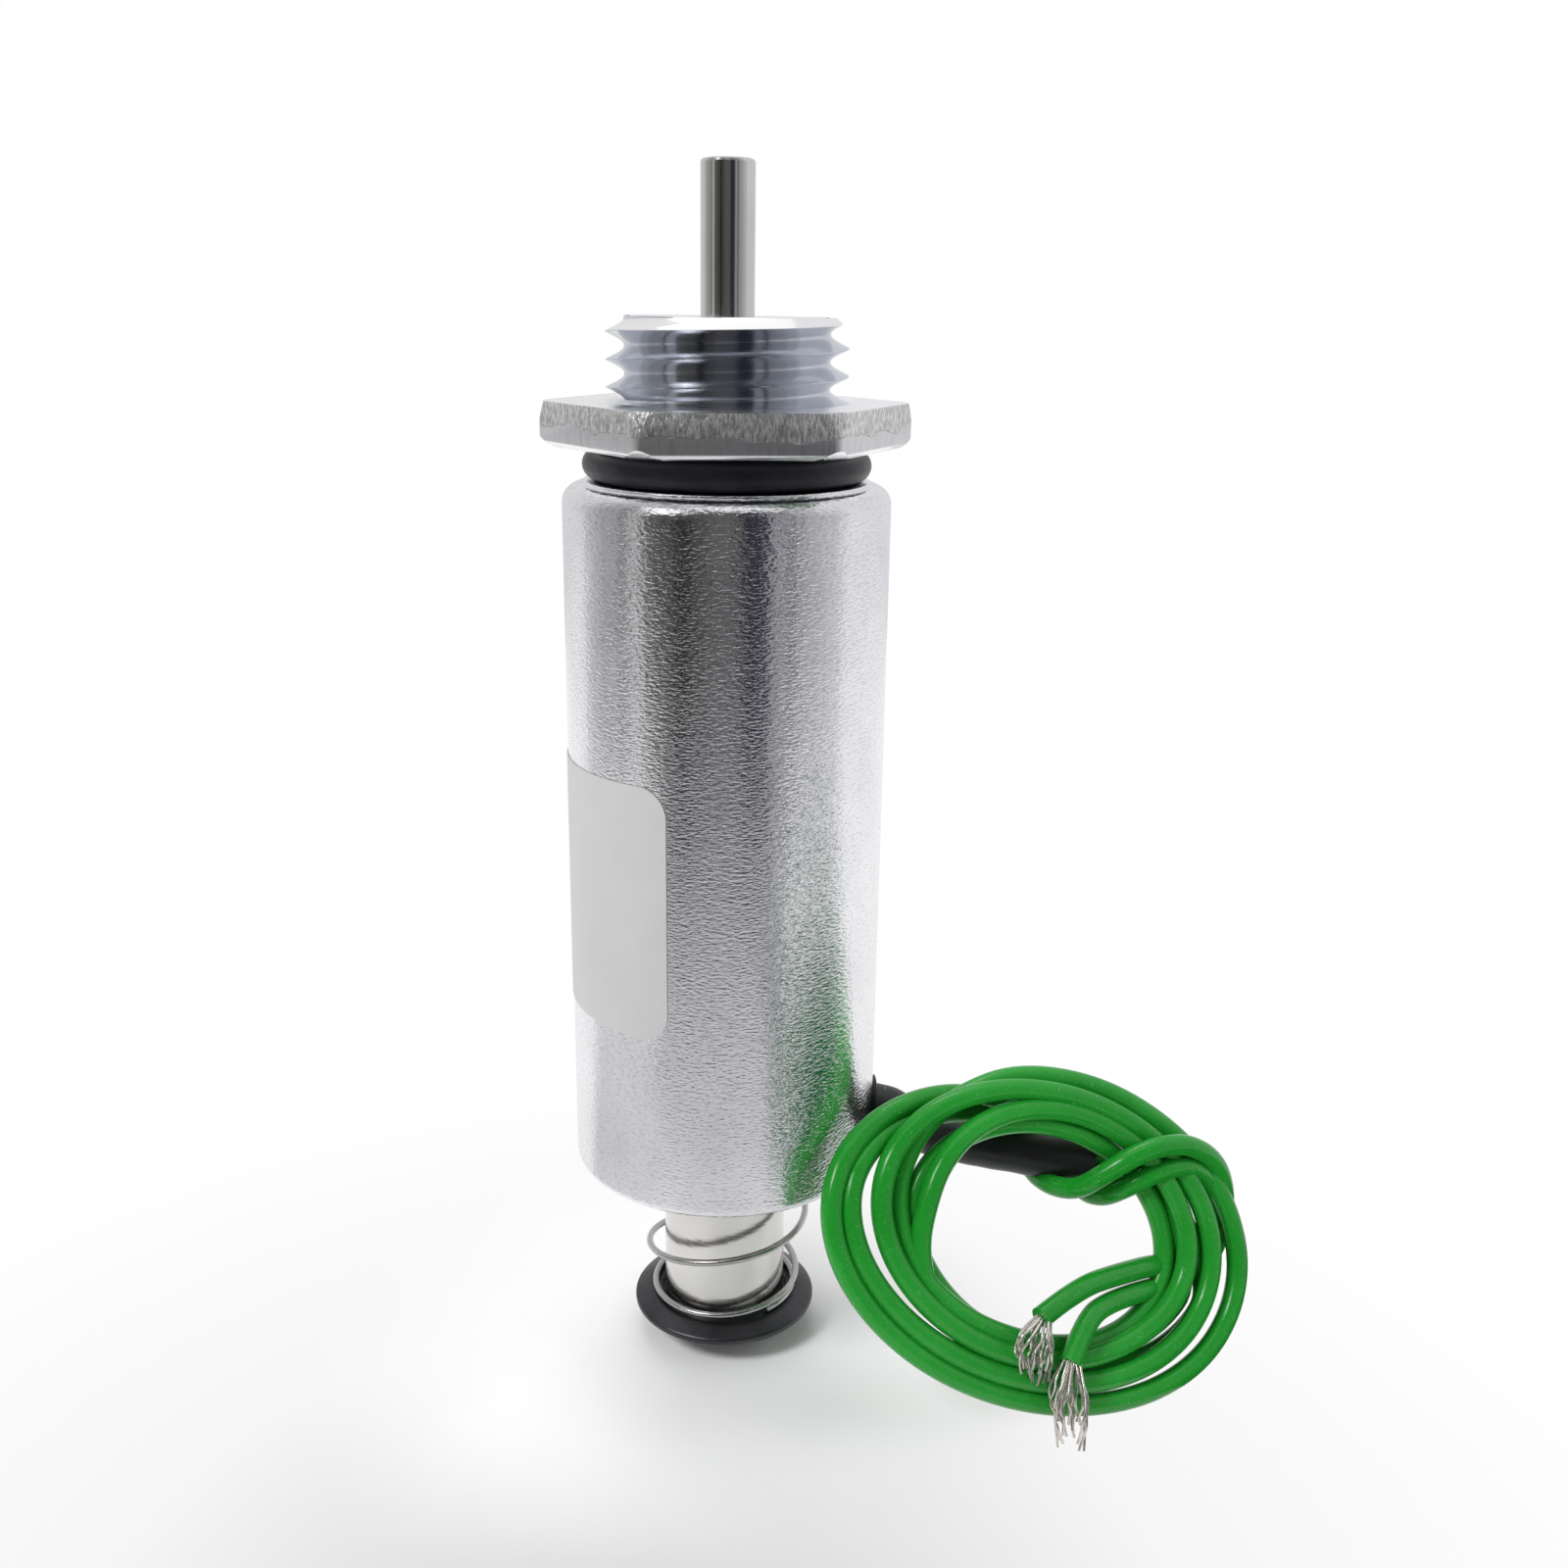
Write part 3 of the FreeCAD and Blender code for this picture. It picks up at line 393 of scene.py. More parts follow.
def nut_zinc():
    """Blanked nut: smooth faces, a broken band above and an upright sheared band below."""
    material, tree, shader, place = new_material("nut_zinc")
    shader.inputs["Metallic"].default_value = 1.0
    upright, slow = grain(tree, place, 3000.0, (1, 1, 0.16), 0.5)
    torn, patches = grain(tree, place, 5600.0, (1, 1, 0.3), 0.62)
    sheared_to, broken_from, wave = NUT[0].z + 2.6 * MM, NUT[0].z + 2.75 * MM, 2.2 * MM
    wavy = maths(tree, "ADD", height_of(tree, place), maths(tree, "MULTIPLY", slow, wave))
    band = shade(tree, "ShaderNodeMapRange", {
        "Value": wavy, "From Min": sheared_to, "From Max": broken_from})
    side = shade(tree, "ShaderNodeMapRange", {
        "Value": maths(tree, "ABSOLUTE", facing_up(tree)), "From Min": 0.2, "From Max": 0.35,
        "To Min": 1.0, "To Max": 0.0}).outputs[0]
    relief = shade(tree, "ShaderNodeMix", {
        "Factor": band.outputs[0], "A": maths(tree, "MULTIPLY", upright, 0.35),
        "B": torn}).outputs[0]
    rough = shade(tree, "ShaderNodeMix", {"Factor": side, "A": 0.2, "B": 0.36})
    sheared = ramp(tree, relief, (0.1, (0.62, 0.62, 0.63)), (0.2, (0.74, 0.74, 0.75)),
                   (0.38, (0.42, 0.42, 0.42)), (0.6, (0.9, 0.9, 0.89)))
    plain = ramp(tree, patches, (0.3, (0.88, 0.885, 0.89)), (0.7, (0.95, 0.95, 0.955)))
    link(tree, colours_mixed(tree, side, plain, sheared), shader, "Base Color")
    link(tree, rough.outputs[0], shader, "Roughness")
    bump(tree, shader, relief, 0.00011, maths(tree, "MULTIPLY", side, 0.75))
    return material


def green_pvc():
    """Glossy green PVC with tiny pale specks and a slow change of tone along the lead."""
    material, tree, shader, place = new_material("green_pvc")
    fine, slow = grain(tree, place, 900.0)
    specks = scratches(tree, place, 1500.0, 0.0025)
    tone = ramp(tree, slow, (0.3, (0.008, 0.235, 0.016)), (0.7, (0.020, 0.33, 0.032)))
    flecked = colours_mixed(tree, specks, tone, (0.10, 0.40, 0.12, 1))
    link(tree, flecked, shader, "Base Color")
    link(tree, ramp(tree, fine, (0.3, 0.13), (0.7, 0.2)), shader, "Roughness")
    shader.inputs["IOR"].default_value = 1.42
    shader.inputs["Subsurface Weight"].default_value = 0.08
    shader.inputs["Subsurface Radius"].default_value = (0.3, 1.0, 0.3)
    shader.inputs["Subsurface Scale"].default_value = 0.0006
    bump(tree, shader, fine, 0.00003, 0.4)
    return material


def label_paper():
    """Off-white gloss paper of the bare sticker, with faint handling marks."""
    material, tree, shader, place = new_material("label_paper")
    fine, slow = grain(tree, place, 1400.0)
    link(tree, ramp(tree, slow, (0.3, (0.50, 0.497, 0.50)), (0.7, (0.54, 0.537, 0.54))),
         shader, "Base Color")
    link(tree, ramp(tree, slow, (0.3, 0.35), (0.7, 0.5)), shader, "Roughness")
    bump(tree, shader, fine, 0.00002, 0.3)
    return material


def wound_copper():
    """Enamelled wire of the winding, one wire beside the next."""
    material, tree, shader, place = new_material("wound_copper")
    fine, slow = grain(tree, place, 700.0)
    pitch = 0.25 * MM
    turn = maths(tree, "MULTIPLY", height_of(tree, place), 2 * math.pi / pitch)
    link(tree, ramp(tree, slow, (0.3, (0.36, 0.09, 0.03)), (0.7, (0.5, 0.15, 0.05))),
         shader, "Base Color")
    shader.inputs["Metallic"].default_value = 0.8
    link(tree, ramp(tree, fine, (0.3, 0.25), (0.7, 0.4)), shader, "Roughness")
    bump(tree, shader, maths(tree, "SINE", turn), 0.00005)
    return material


ZINC_CAN = can_zinc()
ZINC_NECK = neck_zinc()
ZINC_NUT = nut_zinc()
GREEN = green_pvc()
PAPER = label_paper()
COPPER = wound_copper()
ZINC_PLATE = metal("plate_zinc", (0.70, 0.70, 0.72), (0.80, 0.80, 0.83), 0.22, 0.34,
                   1800.0, (1, 1, 1), 0.00002)
GROUND = metal("ground_steel", (0.60, 0.59, 0.58), (0.68, 0.67, 0.66), 0.1, 0.17,
               1400.0, (1, 1, 0.05), 0.000004)
NICKEL = metal("nickel_plate", (0.67, 0.66, 0.64), (0.75, 0.74, 0.72), 0.12, 0.22,
               1300.0, (0.3, 0.3, 4), 0.000008, 0.00002)
STEEL_WIRE = metal("spring_wire", (0.42, 0.41, 0.40), (0.56, 0.55, 0.54), 0.2, 0.3,
                   1200.0, (1, 1, 1), 0.000002)
BLACK_OXIDE = metal("black_oxide", (0.045, 0.045, 0.05), (0.09, 0.09, 0.097), 0.28, 0.42,
                    2200.0, (1, 1, 1), 0.00002, 0.00002)
BRASS = metal("drawn_brass", (0.70, 0.50, 0.20), (0.80, 0.60, 0.28), 0.2, 0.34,
              1500.0, (0.3, 0.3, 3), 0.00001)
TIN = metal("tinned_wire", (0.56, 0.52, 0.47), (0.78, 0.75, 0.70), 0.22, 0.38,
            5000.0, (1, 1, 1), 0.00001)
RUBBER = moulded("black_rubber", (0.007, 0.007, 0.011), (0.016, 0.016, 0.023), 0.3, 0.45,
                 2600.0, 0.00003, gloss=0.28)
SHRINK = moulded("shrink_sleeve", (0.006, 0.006, 0.007), (0.016, 0.016, 0.018), 0.32, 0.46,
                 1500.0, 0.00004)
NYLON = moulded("natural_nylon", (0.66, 0.63, 0.54), (0.76, 0.73, 0.65), 0.4, 0.55,
                1200.0, 0.00003)
TAPE = moulded("polyester_tape", (0.75, 0.50, 0.06), (0.84, 0.60, 0.10), 0.18, 0.3,
               500.0, 0.00006)
FIBRE = moulded("grey_fibre", (0.20, 0.17, 0.13), (0.30, 0.26, 0.21), 0.6, 0.75,
                2500.0, 0.00006)


# Can, with the hole for the leads

CAN_BOTTOM = CAN[0].z
CAN_ROUND = 0.75 * MM
SHOULDER = 1.4 * MM
BOSS_RADIUS = 10.95 * MM
BOSS_ROUND = 0.2 * MM
NECK_HOLE = 8.65 * MM
LIP_REACH = CAN_INSIDE - 1.1 * MM
LIP_THICKNESS = 0.8 * MM

can = turned("can", [
    (LIP_REACH, CAN_BOTTOM + 0.15 * MM), (LIP_REACH + 0.15 * MM, CAN_BOTTOM),
    *arc(CAN_RADIUS - CAN_ROUND, CAN_BOTTOM + CAN_ROUND, CAN_ROUND, -90, 0, 7),
    (CAN_RADIUS, CAN_BOTTOM + 1.1 * MM), (CAN_RADIUS, LEAD_HEIGHT - 2.5 * MM),
    (CAN_RADIUS, LEAD_HEIGHT + 2.6 * MM), (CAN_RADIUS, LEAD_HEIGHT + 6 * MM),
    (CAN_RADIUS, CAN_TOP - SHOULDER - 0.6 * MM),
    *arc(CAN_RADIUS - SHOULDER, CAN_TOP - SHOULDER, SHOULDER, 0, 90, 9),
    (BOSS_RADIUS + 0.1 * MM, CAN_TOP),
    *arc(BOSS_RADIUS - BOSS_ROUND, CAN[1].z - BOSS_ROUND, BOSS_ROUND, 0, 90, 4),
    (NECK_HOLE, CAN[1].z), (NECK_HOLE, CAN_CEILING), (CAN_INSIDE, CAN_CEILING),
    (CAN_INSIDE, LEAD_HEIGHT + 4 * MM), (CAN_INSIDE, CAN_BOTTOM + LIP_THICKNESS),
    (LIP_REACH, CAN_BOTTOM + LIP_THICKNESS),
], ZINC_CAN, "housing")
bm = bmesh.new()
bmesh.ops.create_cone(bm, cap_ends=True, segments=64, radius1=LEAD_HOLE, radius2=LEAD_HOLE,
                      depth=8 * MM, matrix=Matrix.Translation((CAN_RADIUS, 0, LEAD_HEIGHT))
                      @ Matrix.Rotation(math.pi / 2, 4, "Y"))
cut_with(can, finished("drill", bm, ZINC_CAN), "DIFFERENCE")
smoothed(can.data, 30)
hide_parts("housing_can")


# Bare sticker on the can

STICKER_LOW, STICKER_HIGH = 31.87 * MM, 52.1 * MM
STICKER_ENDS = (-250, -110.5)
STICKER_CORNER = 2.3 * MM
STICKER_THICKNESS = 0.07 * MM
STICKER_STRIPS = 70


def sticker():
    """Round cornered paper, made flat in strips and then laid round the can's left side."""
    first, last = (math.radians(end) for end in STICKER_ENDS)
    radius = CAN_RADIUS + 0.02 * MM
    width = (last - first) * radius
    bm = bmesh.new()
    bmesh.ops.create_grid(bm, x_segments=1, y_segments=1, size=0.5)
    for vert in bm.verts:
        vert.co.x = (vert.co.x + 0.5) * width
        vert.co.y = STICKER_LOW + (vert.co.y + 0.5) * (STICKER_HIGH - STICKER_LOW)
    bevelled(bm, bm.verts[:], STICKER_CORNER, 8, "VERTICES")
    for strip in range(1, STICKER_STRIPS):
        bmesh.ops.bisect_plane(bm, geom=bm.verts[:] + bm.edges[:] + bm.faces[:],
                               plane_co=(width * strip / STICKER_STRIPS, 0, 0),
                               plane_no=(1, 0, 0))
    raised(bm, STICKER_THICKNESS)
    for vert in bm.verts:
        angle = first + vert.co.x / radius
        out = radius + vert.co.z
        vert.co = Vector((out * math.cos(angle), out * math.sin(angle), vert.co.y))
    bmesh.ops.recalc_face_normals(bm, faces=bm.faces)
    finished("sticker", bm, PAPER, "housing", 40)


sticker()


# Threaded bush: neck, pole flange and pole core in one piece

THREAD_PITCH = 2.0 * MM
THREAD_DEPTH = 1.4 * MM
THREAD_START = 75.0 * MM
THREAD_TURNS = 6
THREAD_STEPS = 120
CREST = 9.05 * MM
ROOT = CREST - THREAD_DEPTH
NECK_BOTTOM = NUT[0].z + 0.15 * MM
UNDER_ROOT = 6.5 * MM
NECK_CHAMFER = 0.95 * MM
NECK_RELIEF = 8.6 * MM
FLANGE_RADIUS = 11.2 * MM
FLANGE_BOTTOM = 70 * MM
CORE_RADIUS = 5.62 * MM
POLE_RADIUS = 5.18 * MM
POLE_LENGTH = 6.2 * MM
CONE_DEPTH = 3.464 * MM
CONE_TOP = 2.6 * MM
CONE_MOUTH = 4.6 * MM
PIN_HOLE = PIN_RADIUS + 0.06 * MM
PIN_CHAMFER = 0.35 * MM

# One flank from the crest down to the root and under it: millimetres out from the root, and
# share of half a pitch.
FLANK = [(1.4, 0.03), (1.1, 0.17), (0.76, 0.34), (0.46, 0.5), (0.22, 0.66), (0.07, 0.81),
         (0.0, 0.96), (-0.3, 0.99)]


def thread_ridge():
    """Closed right-hand ridge of the thread, wound up round the neck."""
    half = THREAD_PITCH / 2
    section = [(ROOT + out * MM, -half * along) for out, along in reversed(FLANK)]
    section += [(ROOT + out * MM, half * along) for out, along in FLANK]
    bm = bmesh.new()
    geom = drawn(bm, [(radius, 0, THREAD_START + height) for radius, height in section])
    bmesh.ops.spin(bm, geom=geom, cent=(0, 0, 0), axis=(0, 0, 1),
                   dvec=(0, 0, THREAD_PITCH / THREAD_STEPS), angle=2 * math.pi * THREAD_TURNS,
                   steps=THREAD_STEPS * THREAD_TURNS, use_merge=False, use_duplicate=False)
    ends = [edge for edge in bm.edges if edge.is_boundary]
    bmesh.ops.holes_fill(bm, edges=ends, sides=0)
    bmesh.ops.recalc_face_normals(bm, faces=bm.faces)
    return finished("thread_ridge", bm, ZINC_NECK)


ridge = thread_ridge()
cut_with(ridge, turned("thread_envelope", [
    (UNDER_ROOT, NECK_BOTTOM), (CREST - 0.6 * MM, NECK_BOTTOM), (CREST, NECK_BOTTOM + 0.6 * MM),
    (CREST, NECK_TOP - NECK_CHAMFER), (CREST - NECK_CHAMFER, NECK_TOP), (UNDER_ROOT, NECK_TOP),
], ZINC_NECK), "INTERSECT")
bm = bmesh.new()
spin_outline(bm, [
    (CONE_TOP, POLE_FACE + CONE_DEPTH), (CONE_MOUTH, POLE_FACE), (POLE_RADIUS, POLE_FACE),
    (POLE_RADIUS, POLE_FACE + POLE_LENGTH), (CORE_RADIUS, POLE_FACE + POLE_LENGTH),
    (CORE_RADIUS, FLANGE_BOTTOM), (FLANGE_RADIUS, FLANGE_BOTTOM), (FLANGE_RADIUS, CAN_CEILING),
    (NECK_RELIEF, CAN_CEILING), (NECK_RELIEF, NUT[0].z + 0.1 * MM),
    (ROOT + 0.02 * MM, NUT[0].z + 0.7 * MM), (ROOT + 0.02 * MM, NECK_TOP - 0.12 * MM),
    (ROOT - 0.1 * MM, NECK_TOP), (PIN_HOLE + PIN_CHAMFER, NECK_TOP),
    (PIN_HOLE, NECK_TOP - PIN_CHAMFER), (PIN_HOLE, POLE_FACE + CONE_DEPTH),
])
bm.from_mesh(ridge.data)
bpy.data.objects.remove(ridge)
bush = finished("threaded_bush_turned", bm, ZINC_NECK, "housing", 28)
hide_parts("threaded_bush")


# Hex nut: a bevelled prism that a turned envelope trims

NUT_LOW, NUT_HIGH = NUT[0].z, NUT[1].z
NUT_FLATS = 24.5 * MM
NUT_CORNER = NUT_FLATS / 2 / math.cos(math.radians(30))
NUT_TURN = 4.0
NUT_BORE = 8.35 * MM


def rim_at(bm, height):
    """Edges of the prism that lie at one height."""
    return [edge for edge in bm.edges
            if all(abs(vert.co.z - height) < 0.01 * MM for vert in edge.verts)]


bm = bmesh.new()
bmesh.ops.create_circle(bm, cap_ends=True, segments=6, radius=NUT_CORNER,
                        matrix=Matrix.Translation((0, 0, NUT_LOW))
                        @ Matrix.Rotation(math.radians(NUT_TURN - 90), 4, "Z"))
raised(bm, NUT_HIGH - NUT_LOW)
bmesh.ops.recalc_face_normals(bm, faces=bm.faces)
upright = [edge for edge in bm.edges if abs(edge.verts[0].co.z - edge.verts[1].co.z) > MM]
bevelled(bm, upright, 0.5 * MM, 5)
bevelled(bm, rim_at(bm, NUT_LOW), 0.5 * MM, 4)
bevelled(bm, rim_at(bm, NUT_HIGH), 0.08 * MM, 2)
nut = finished("hex_nut_blanked", bm, ZINC_NUT, "housing")
cut_with(nut, turned("nut_envelope", [
    (NUT_BORE, NUT_LOW - MM), (12.9 * MM, NUT_LOW - MM), (12.9 * MM, NUT_LOW),
    (13.55 * MM, NUT_LOW + 0.3 * MM), (14.05 * MM, NUT_LOW + 0.75 * MM),
    (14.2 * MM, NUT_LOW + 1.1 * MM), (13.42 * MM, NUT_HIGH + MM), (9.2 * MM, NUT_HIGH + MM),
    (9.2 * MM, NUT_HIGH), (NUT_BORE, NUT_HIGH - 0.8 * MM),
], ZINC_NUT), "INTERSECT")
smoothed(nut.data, 30)
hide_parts("hex_nut")


# O-ring, push pin, plunger and spring disc

RING_SECTION = (RING[1].z - RING[0].z) / 2
RING_RADIUS = RING[1].x - RING_SECTION
RING_STEPS = 40
PIN_TOP = PIN[1].z
PLUNGER_RADIUS = PLUNGER[1].x
NOSE_TOP = PLUNGER[1].z
NOSE_BOTTOM = POLE_FACE - 10.5 * MM
SOCKET_BOTTOM = NOSE_TOP - 6 * MM
STUB_RADIUS = 4.4 * MM
STUB_TOP = 3.0 * MM
CLIP_GROOVE = (1.1 * MM, 1.95 * MM)
GROOVE_RADIUS = 3.6 * MM
DISC_LOW = DISC[0].z
DISC_HOLE = 4.45 * MM
DISC_EDGE = 7.5 * MM
DISC_ROUND = 0.28 * MM
CUP_RADIUS = 5.3 * MM

ring = turned("o_ring_moulded", [
    (RING_RADIUS + RING_SECTION * math.cos(2 * math.pi * step / RING_STEPS),
     RING[0].z + RING_SECTION + RING_SECTION * math.sin(2 * math.pi * step / RING_STEPS))
    for step in range(RING_STEPS)
], RUBBER, "housing")
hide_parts("o_ring")

pin = turned("push_pin_ground", [
    (0, PIN[0].z), (PIN_RADIUS, PIN[0].z), (PIN_RADIUS, PIN_TOP - 0.25 * MM),
    (PIN_RADIUS - 0.08 * MM, PIN_TOP - 0.09 * MM), (PIN_RADIUS - 0.3 * MM, PIN_TOP),
    (0, PIN_TOP),
], GROUND, "plunger", 25)
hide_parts("push_pin")

rod = turned("plunger_turned", [
    (0, 0), (STUB_RADIUS - 0.3 * MM, 0), (STUB_RADIUS, 0.3 * MM), (STUB_RADIUS, CLIP_GROOVE[0]),
    (GROOVE_RADIUS, CLIP_GROOVE[0]), (GROOVE_RADIUS, CLIP_GROOVE[1]),
    (STUB_RADIUS, CLIP_GROOVE[1]), (STUB_RADIUS, STUB_TOP),
    (PLUNGER_RADIUS - 0.15 * MM, STUB_TOP), (PLUNGER_RADIUS, STUB_TOP + 0.15 * MM),
    (PLUNGER_RADIUS, NOSE_BOTTOM), (PLUNGER_RADIUS - 0.55 * MM, NOSE_BOTTOM),
    (2.6 * MM, NOSE_TOP), (PIN_RADIUS, NOSE_TOP), (PIN_RADIUS, SOCKET_BOTTOM),
    (0, SOCKET_BOTTOM),
], NICKEL, "plunger", 25)
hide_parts("plunger")

disc = turned("spring_disc_pressed", [
    (DISC_HOLE, DISC_LOW), (6.6 * MM, DISC_LOW), (7.35 * MM, DISC_LOW + 0.1 * MM),
    *arc(DISC_EDGE, DISC_LOW + 0.38 * MM, DISC_ROUND, -80, 0, 5),
    *arc(DISC_EDGE, DISC_LOW + 0.52 * MM, DISC_ROUND, 0, 70, 5),
    (6.75 * MM, DISC_LOW + 1.2 * MM), (6.45 * MM, DISC_LOW + 1.32 * MM),
    (6.2 * MM, DISC_LOW + 1.35 * MM), (5.45 * MM, DISC_LOW + 1.35 * MM),
    (CUP_RADIUS, DISC_LOW + 1.25 * MM), (CUP_RADIUS, STUB_TOP), (DISC_HOLE, STUB_TOP),
], BLACK_OXIDE, "plunger", 30)
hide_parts("spring_disc")


# Curves, and rings swept along a line of points

def frames_along(points):
    """Matrix at each point with its Z axis along the line and as little twist as possible."""
    frames = []
    side = None
    for index, point in enumerate(points):
        after = points[min(index + 1, len(points) - 1)]
        before = points[max(index - 1, 0)]
        along = (after - before).normalized()
        if side is None:
            side = along.orthogonal()
        side = (side - along * side.dot(along)).normalized()
        third = along.cross(side)
        frame_matrix = Matrix((side, third, along)).transposed().to_4x4()
        frames.append(Matrix.Translation(point) @ frame_matrix)
    return frames


def sweep(bm, frames, sizes, segments):
    """Bridges circles of the given half widths (across, up) at the frames; returns both rims."""
    rings = []
    for place, (across, up) in zip(frames, sizes):
        scaled = place @ Matrix.Diagonal((across, up, 1, 1))
        made = bmesh.ops.create_circle(bm, cap_ends=False, segments=segments, radius=1,
                                       matrix=scaled)
        rings.append({edge for vert in made["verts"] for edge in vert.link_edges})
    for lower, upper in zip(rings, rings[1:]):
        bmesh.ops.bridge_loops(bm, edges=list(lower | upper))
    return rings[0], rings[-1]


def mesh_of(curve):
    """Mesh of a curve, which is then deleted."""
    holder = bpy.data.objects.new("holder", curve)
    bpy.context.scene.collection.objects.link(holder)
    mesh = bpy.data.meshes.new_from_object(holder)
    bpy.data.objects.remove(holder)
    bpy.data.curves.remove(curve)
    return mesh


def new_curve(name, resolution, girth=0.0, roundness=4):
    """Empty curve, a capped round bar where it has a girth."""
    curve = bpy.data.curves.new(name, "CURVE")
    curve.dimensions = "3D"
    curve.resolution_u = resolution
    curve.bevel_depth = girth
    curve.bevel_resolution = roundness
    curve.use_fill_caps = girth > 0
    return curve


def line_of(points, resolution):
    """Points read from the smooth line of a route."""
    curve = new_curve("route_line", resolution)
    add_line(curve, points)
    mesh = mesh_of(curve)
    found = [vert.co.copy() for vert in mesh.vertices]
    bpy.data.meshes.remove(mesh)
    return found


def add_spline(curve, kind, points):
    """Spline of a kind with the points as its control points."""
    spline = curve.splines.new(kind)
    spline.points.add(len(points) - 1)
    for control, point in zip(spline.points, points):
        control.co = (*point, 1)
    return spline


def add_line(curve, points):
    """Smooth open line that starts and ends at the route's ends."""
    spline = add_spline(curve, "NURBS", points)
    spline.order_u = 3
    spline.use_endpoint_u = True
    spline.resolution_u = curve.resolution_u


def between(stations, at):
    """Smooth pair of values at a place in rows of (place, value, value)."""
    last = len(stations) - 2
    index = next((i for i in range(last) if at <= stations[i + 1][0]), last)
    rows = [stations[min(max(i, 0), last + 1)] for i in range(index - 1, index + 3)]
    step = rows[2][0] - rows[1][0]
    share = (at - rows[1][0]) / step
    values = []
    for column in (1, 2):
        start, end = rows[1][column], rows[2][column]
        before = (end - rows[0][column]) / (rows[2][0] - rows[0][0]) * step
        after = (rows[3][column] - start) / (rows[3][0] - rows[1][0]) * step
        rise = end - start
        values.append(start + share * (before + share * (
            3 * rise - 2 * before - after + share * (before + after - 2 * rise))))
    return values


# Return spring: a closed turn on the disc, open turns, a closed turn under the end plate.
# Stations: turns gone round, height and mean radius in millimetres.

SPRING_TURNS = [
    (0, 3.68, 5.98), (0.65, 3.74, 6.0), (0.88, 3.92, 6.02), (1.0, 4.3, 6.1), (1.15, 4.75, 6.25),
    (1.4, 6.0, 6.4), (1.65, 7.7, 6.5), (1.9, 9.6, 6.75), (2.15, 10.8, 7.0), (2.4, 12.4, 7.1),
    (2.65, 14.3, 7.1), (2.85, 15.8, 7.1), (3.0, 16.7, 7.1), (3.2, 17.1, 7.1), (3.8, 17.38, 7.1),
]
SPRING_START = -54
SPRING_STEPS = 228
WIRE_RADIUS = 0.28 * MM

spring_line = []
for step in range(SPRING_STEPS + 1):
    turn = SPRING_TURNS[-1][0] * step / SPRING_STEPS
    height, radius = between(SPRING_TURNS, turn)
    angle = math.radians(SPRING_START + 360 * turn)
    spring_line.append(mm(radius * math.cos(angle), radius * math.sin(angle), height))
curve = new_curve("spring_line", 1, WIRE_RADIUS)
add_spline(curve, "POLY", spring_line)
spring_mesh = mesh_of(curve)
smoothed(spring_mesh, 40)
spring = placed("return_spring_wound", spring_mesh, STEEL_WIRE)
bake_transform(spring)
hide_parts("return_spring")


# Grommet in the lead hole: outline as (distance from the axis of the can, radius)

LIP_RADIUS = 2.5 * MM
LIP_ROUND = 0.2 * MM
LIP_FACE = CAN_RADIUS + 0.35 * MM
LIP_SEAT = CAN_RADIUS + 0.05 * MM
INNER_SEAT = CAN_RADIUS - 1.55 * MM
GROMMET_BORE = 1.93 * MM

bm = bmesh.new()
geom = drawn(bm, [(along, 0, LEAD_HEIGHT + out) for along, out in [
    (GROMMET[0].x, GROMMET_BORE), (GROMMET[0].x, LIP_RADIUS), (INNER_SEAT, LIP_RADIUS),
    (INNER_SEAT, LEAD_HOLE), (LIP_SEAT, LEAD_HOLE), (LIP_SEAT, LIP_RADIUS),
    *arc(LIP_FACE - LIP_ROUND, LIP_RADIUS - LIP_ROUND, LIP_ROUND, 90, 0, 5),
    (LIP_FACE, 2.15 * MM), (LIP_FACE - LIP_ROUND, GROMMET_BORE),
]])
bmesh.ops.spin(bm, geom=geom, cent=(0, 0, LEAD_HEIGHT), axis=(1, 0, 0), angle=2 * math.pi,
               steps=64, use_merge=True, use_duplicate=False)
bmesh.ops.recalc_face_normals(bm, faces=bm.faces)
grommet = finished("grommet_moulded", bm, RUBBER, "housing", 40)
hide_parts("lead_grommet")


# The two leads: through the shrink sleeve, three wound turns, the wrap and the free ends

COIL_CENTRE = mm(26.0, -9.6, 13.45)
COIL_LONG = Vector((0.92034, 0.12589, -0.37030))
COIL_SHORT = Vector((0.26285, 0.50201, 0.82395))
COIL_OUT = Vector((0.28962, -0.85565, 0.42894))
INNER_HALVES = (11.15, 8.5)
BUNDLE_HALVES = (7.5, 4.15)
SPREAD = 0.86

SLEEVE_ROUTE = [mm(10.6, 0.0, 20.6), mm(13.1, 0.0, 20.6), mm(15.3, -0.1, 19.2),
                mm(17.8, -0.5, 18.1), mm(21.7, -1.1, 17.5), mm(26.0, -1.8, 17.0),
                mm(31.3, -2.5, 16.5)]
LEAD_END = mm(36.7, -4.1, 15.9)
TAIL_A = [mm(37.3, -6.5, 9.2), mm(32.0, -9.8, 10.1), mm(28.4, -12.1, 10.4), mm(25.0, -14.7, 9.5)]
TAIL_B = [mm(36.9, -7.5, 7.6), mm(31.5, -11.0, 8.5), mm(28.9, -13.4, 8.4),
          mm(27.35, -15.9, 6.2)]

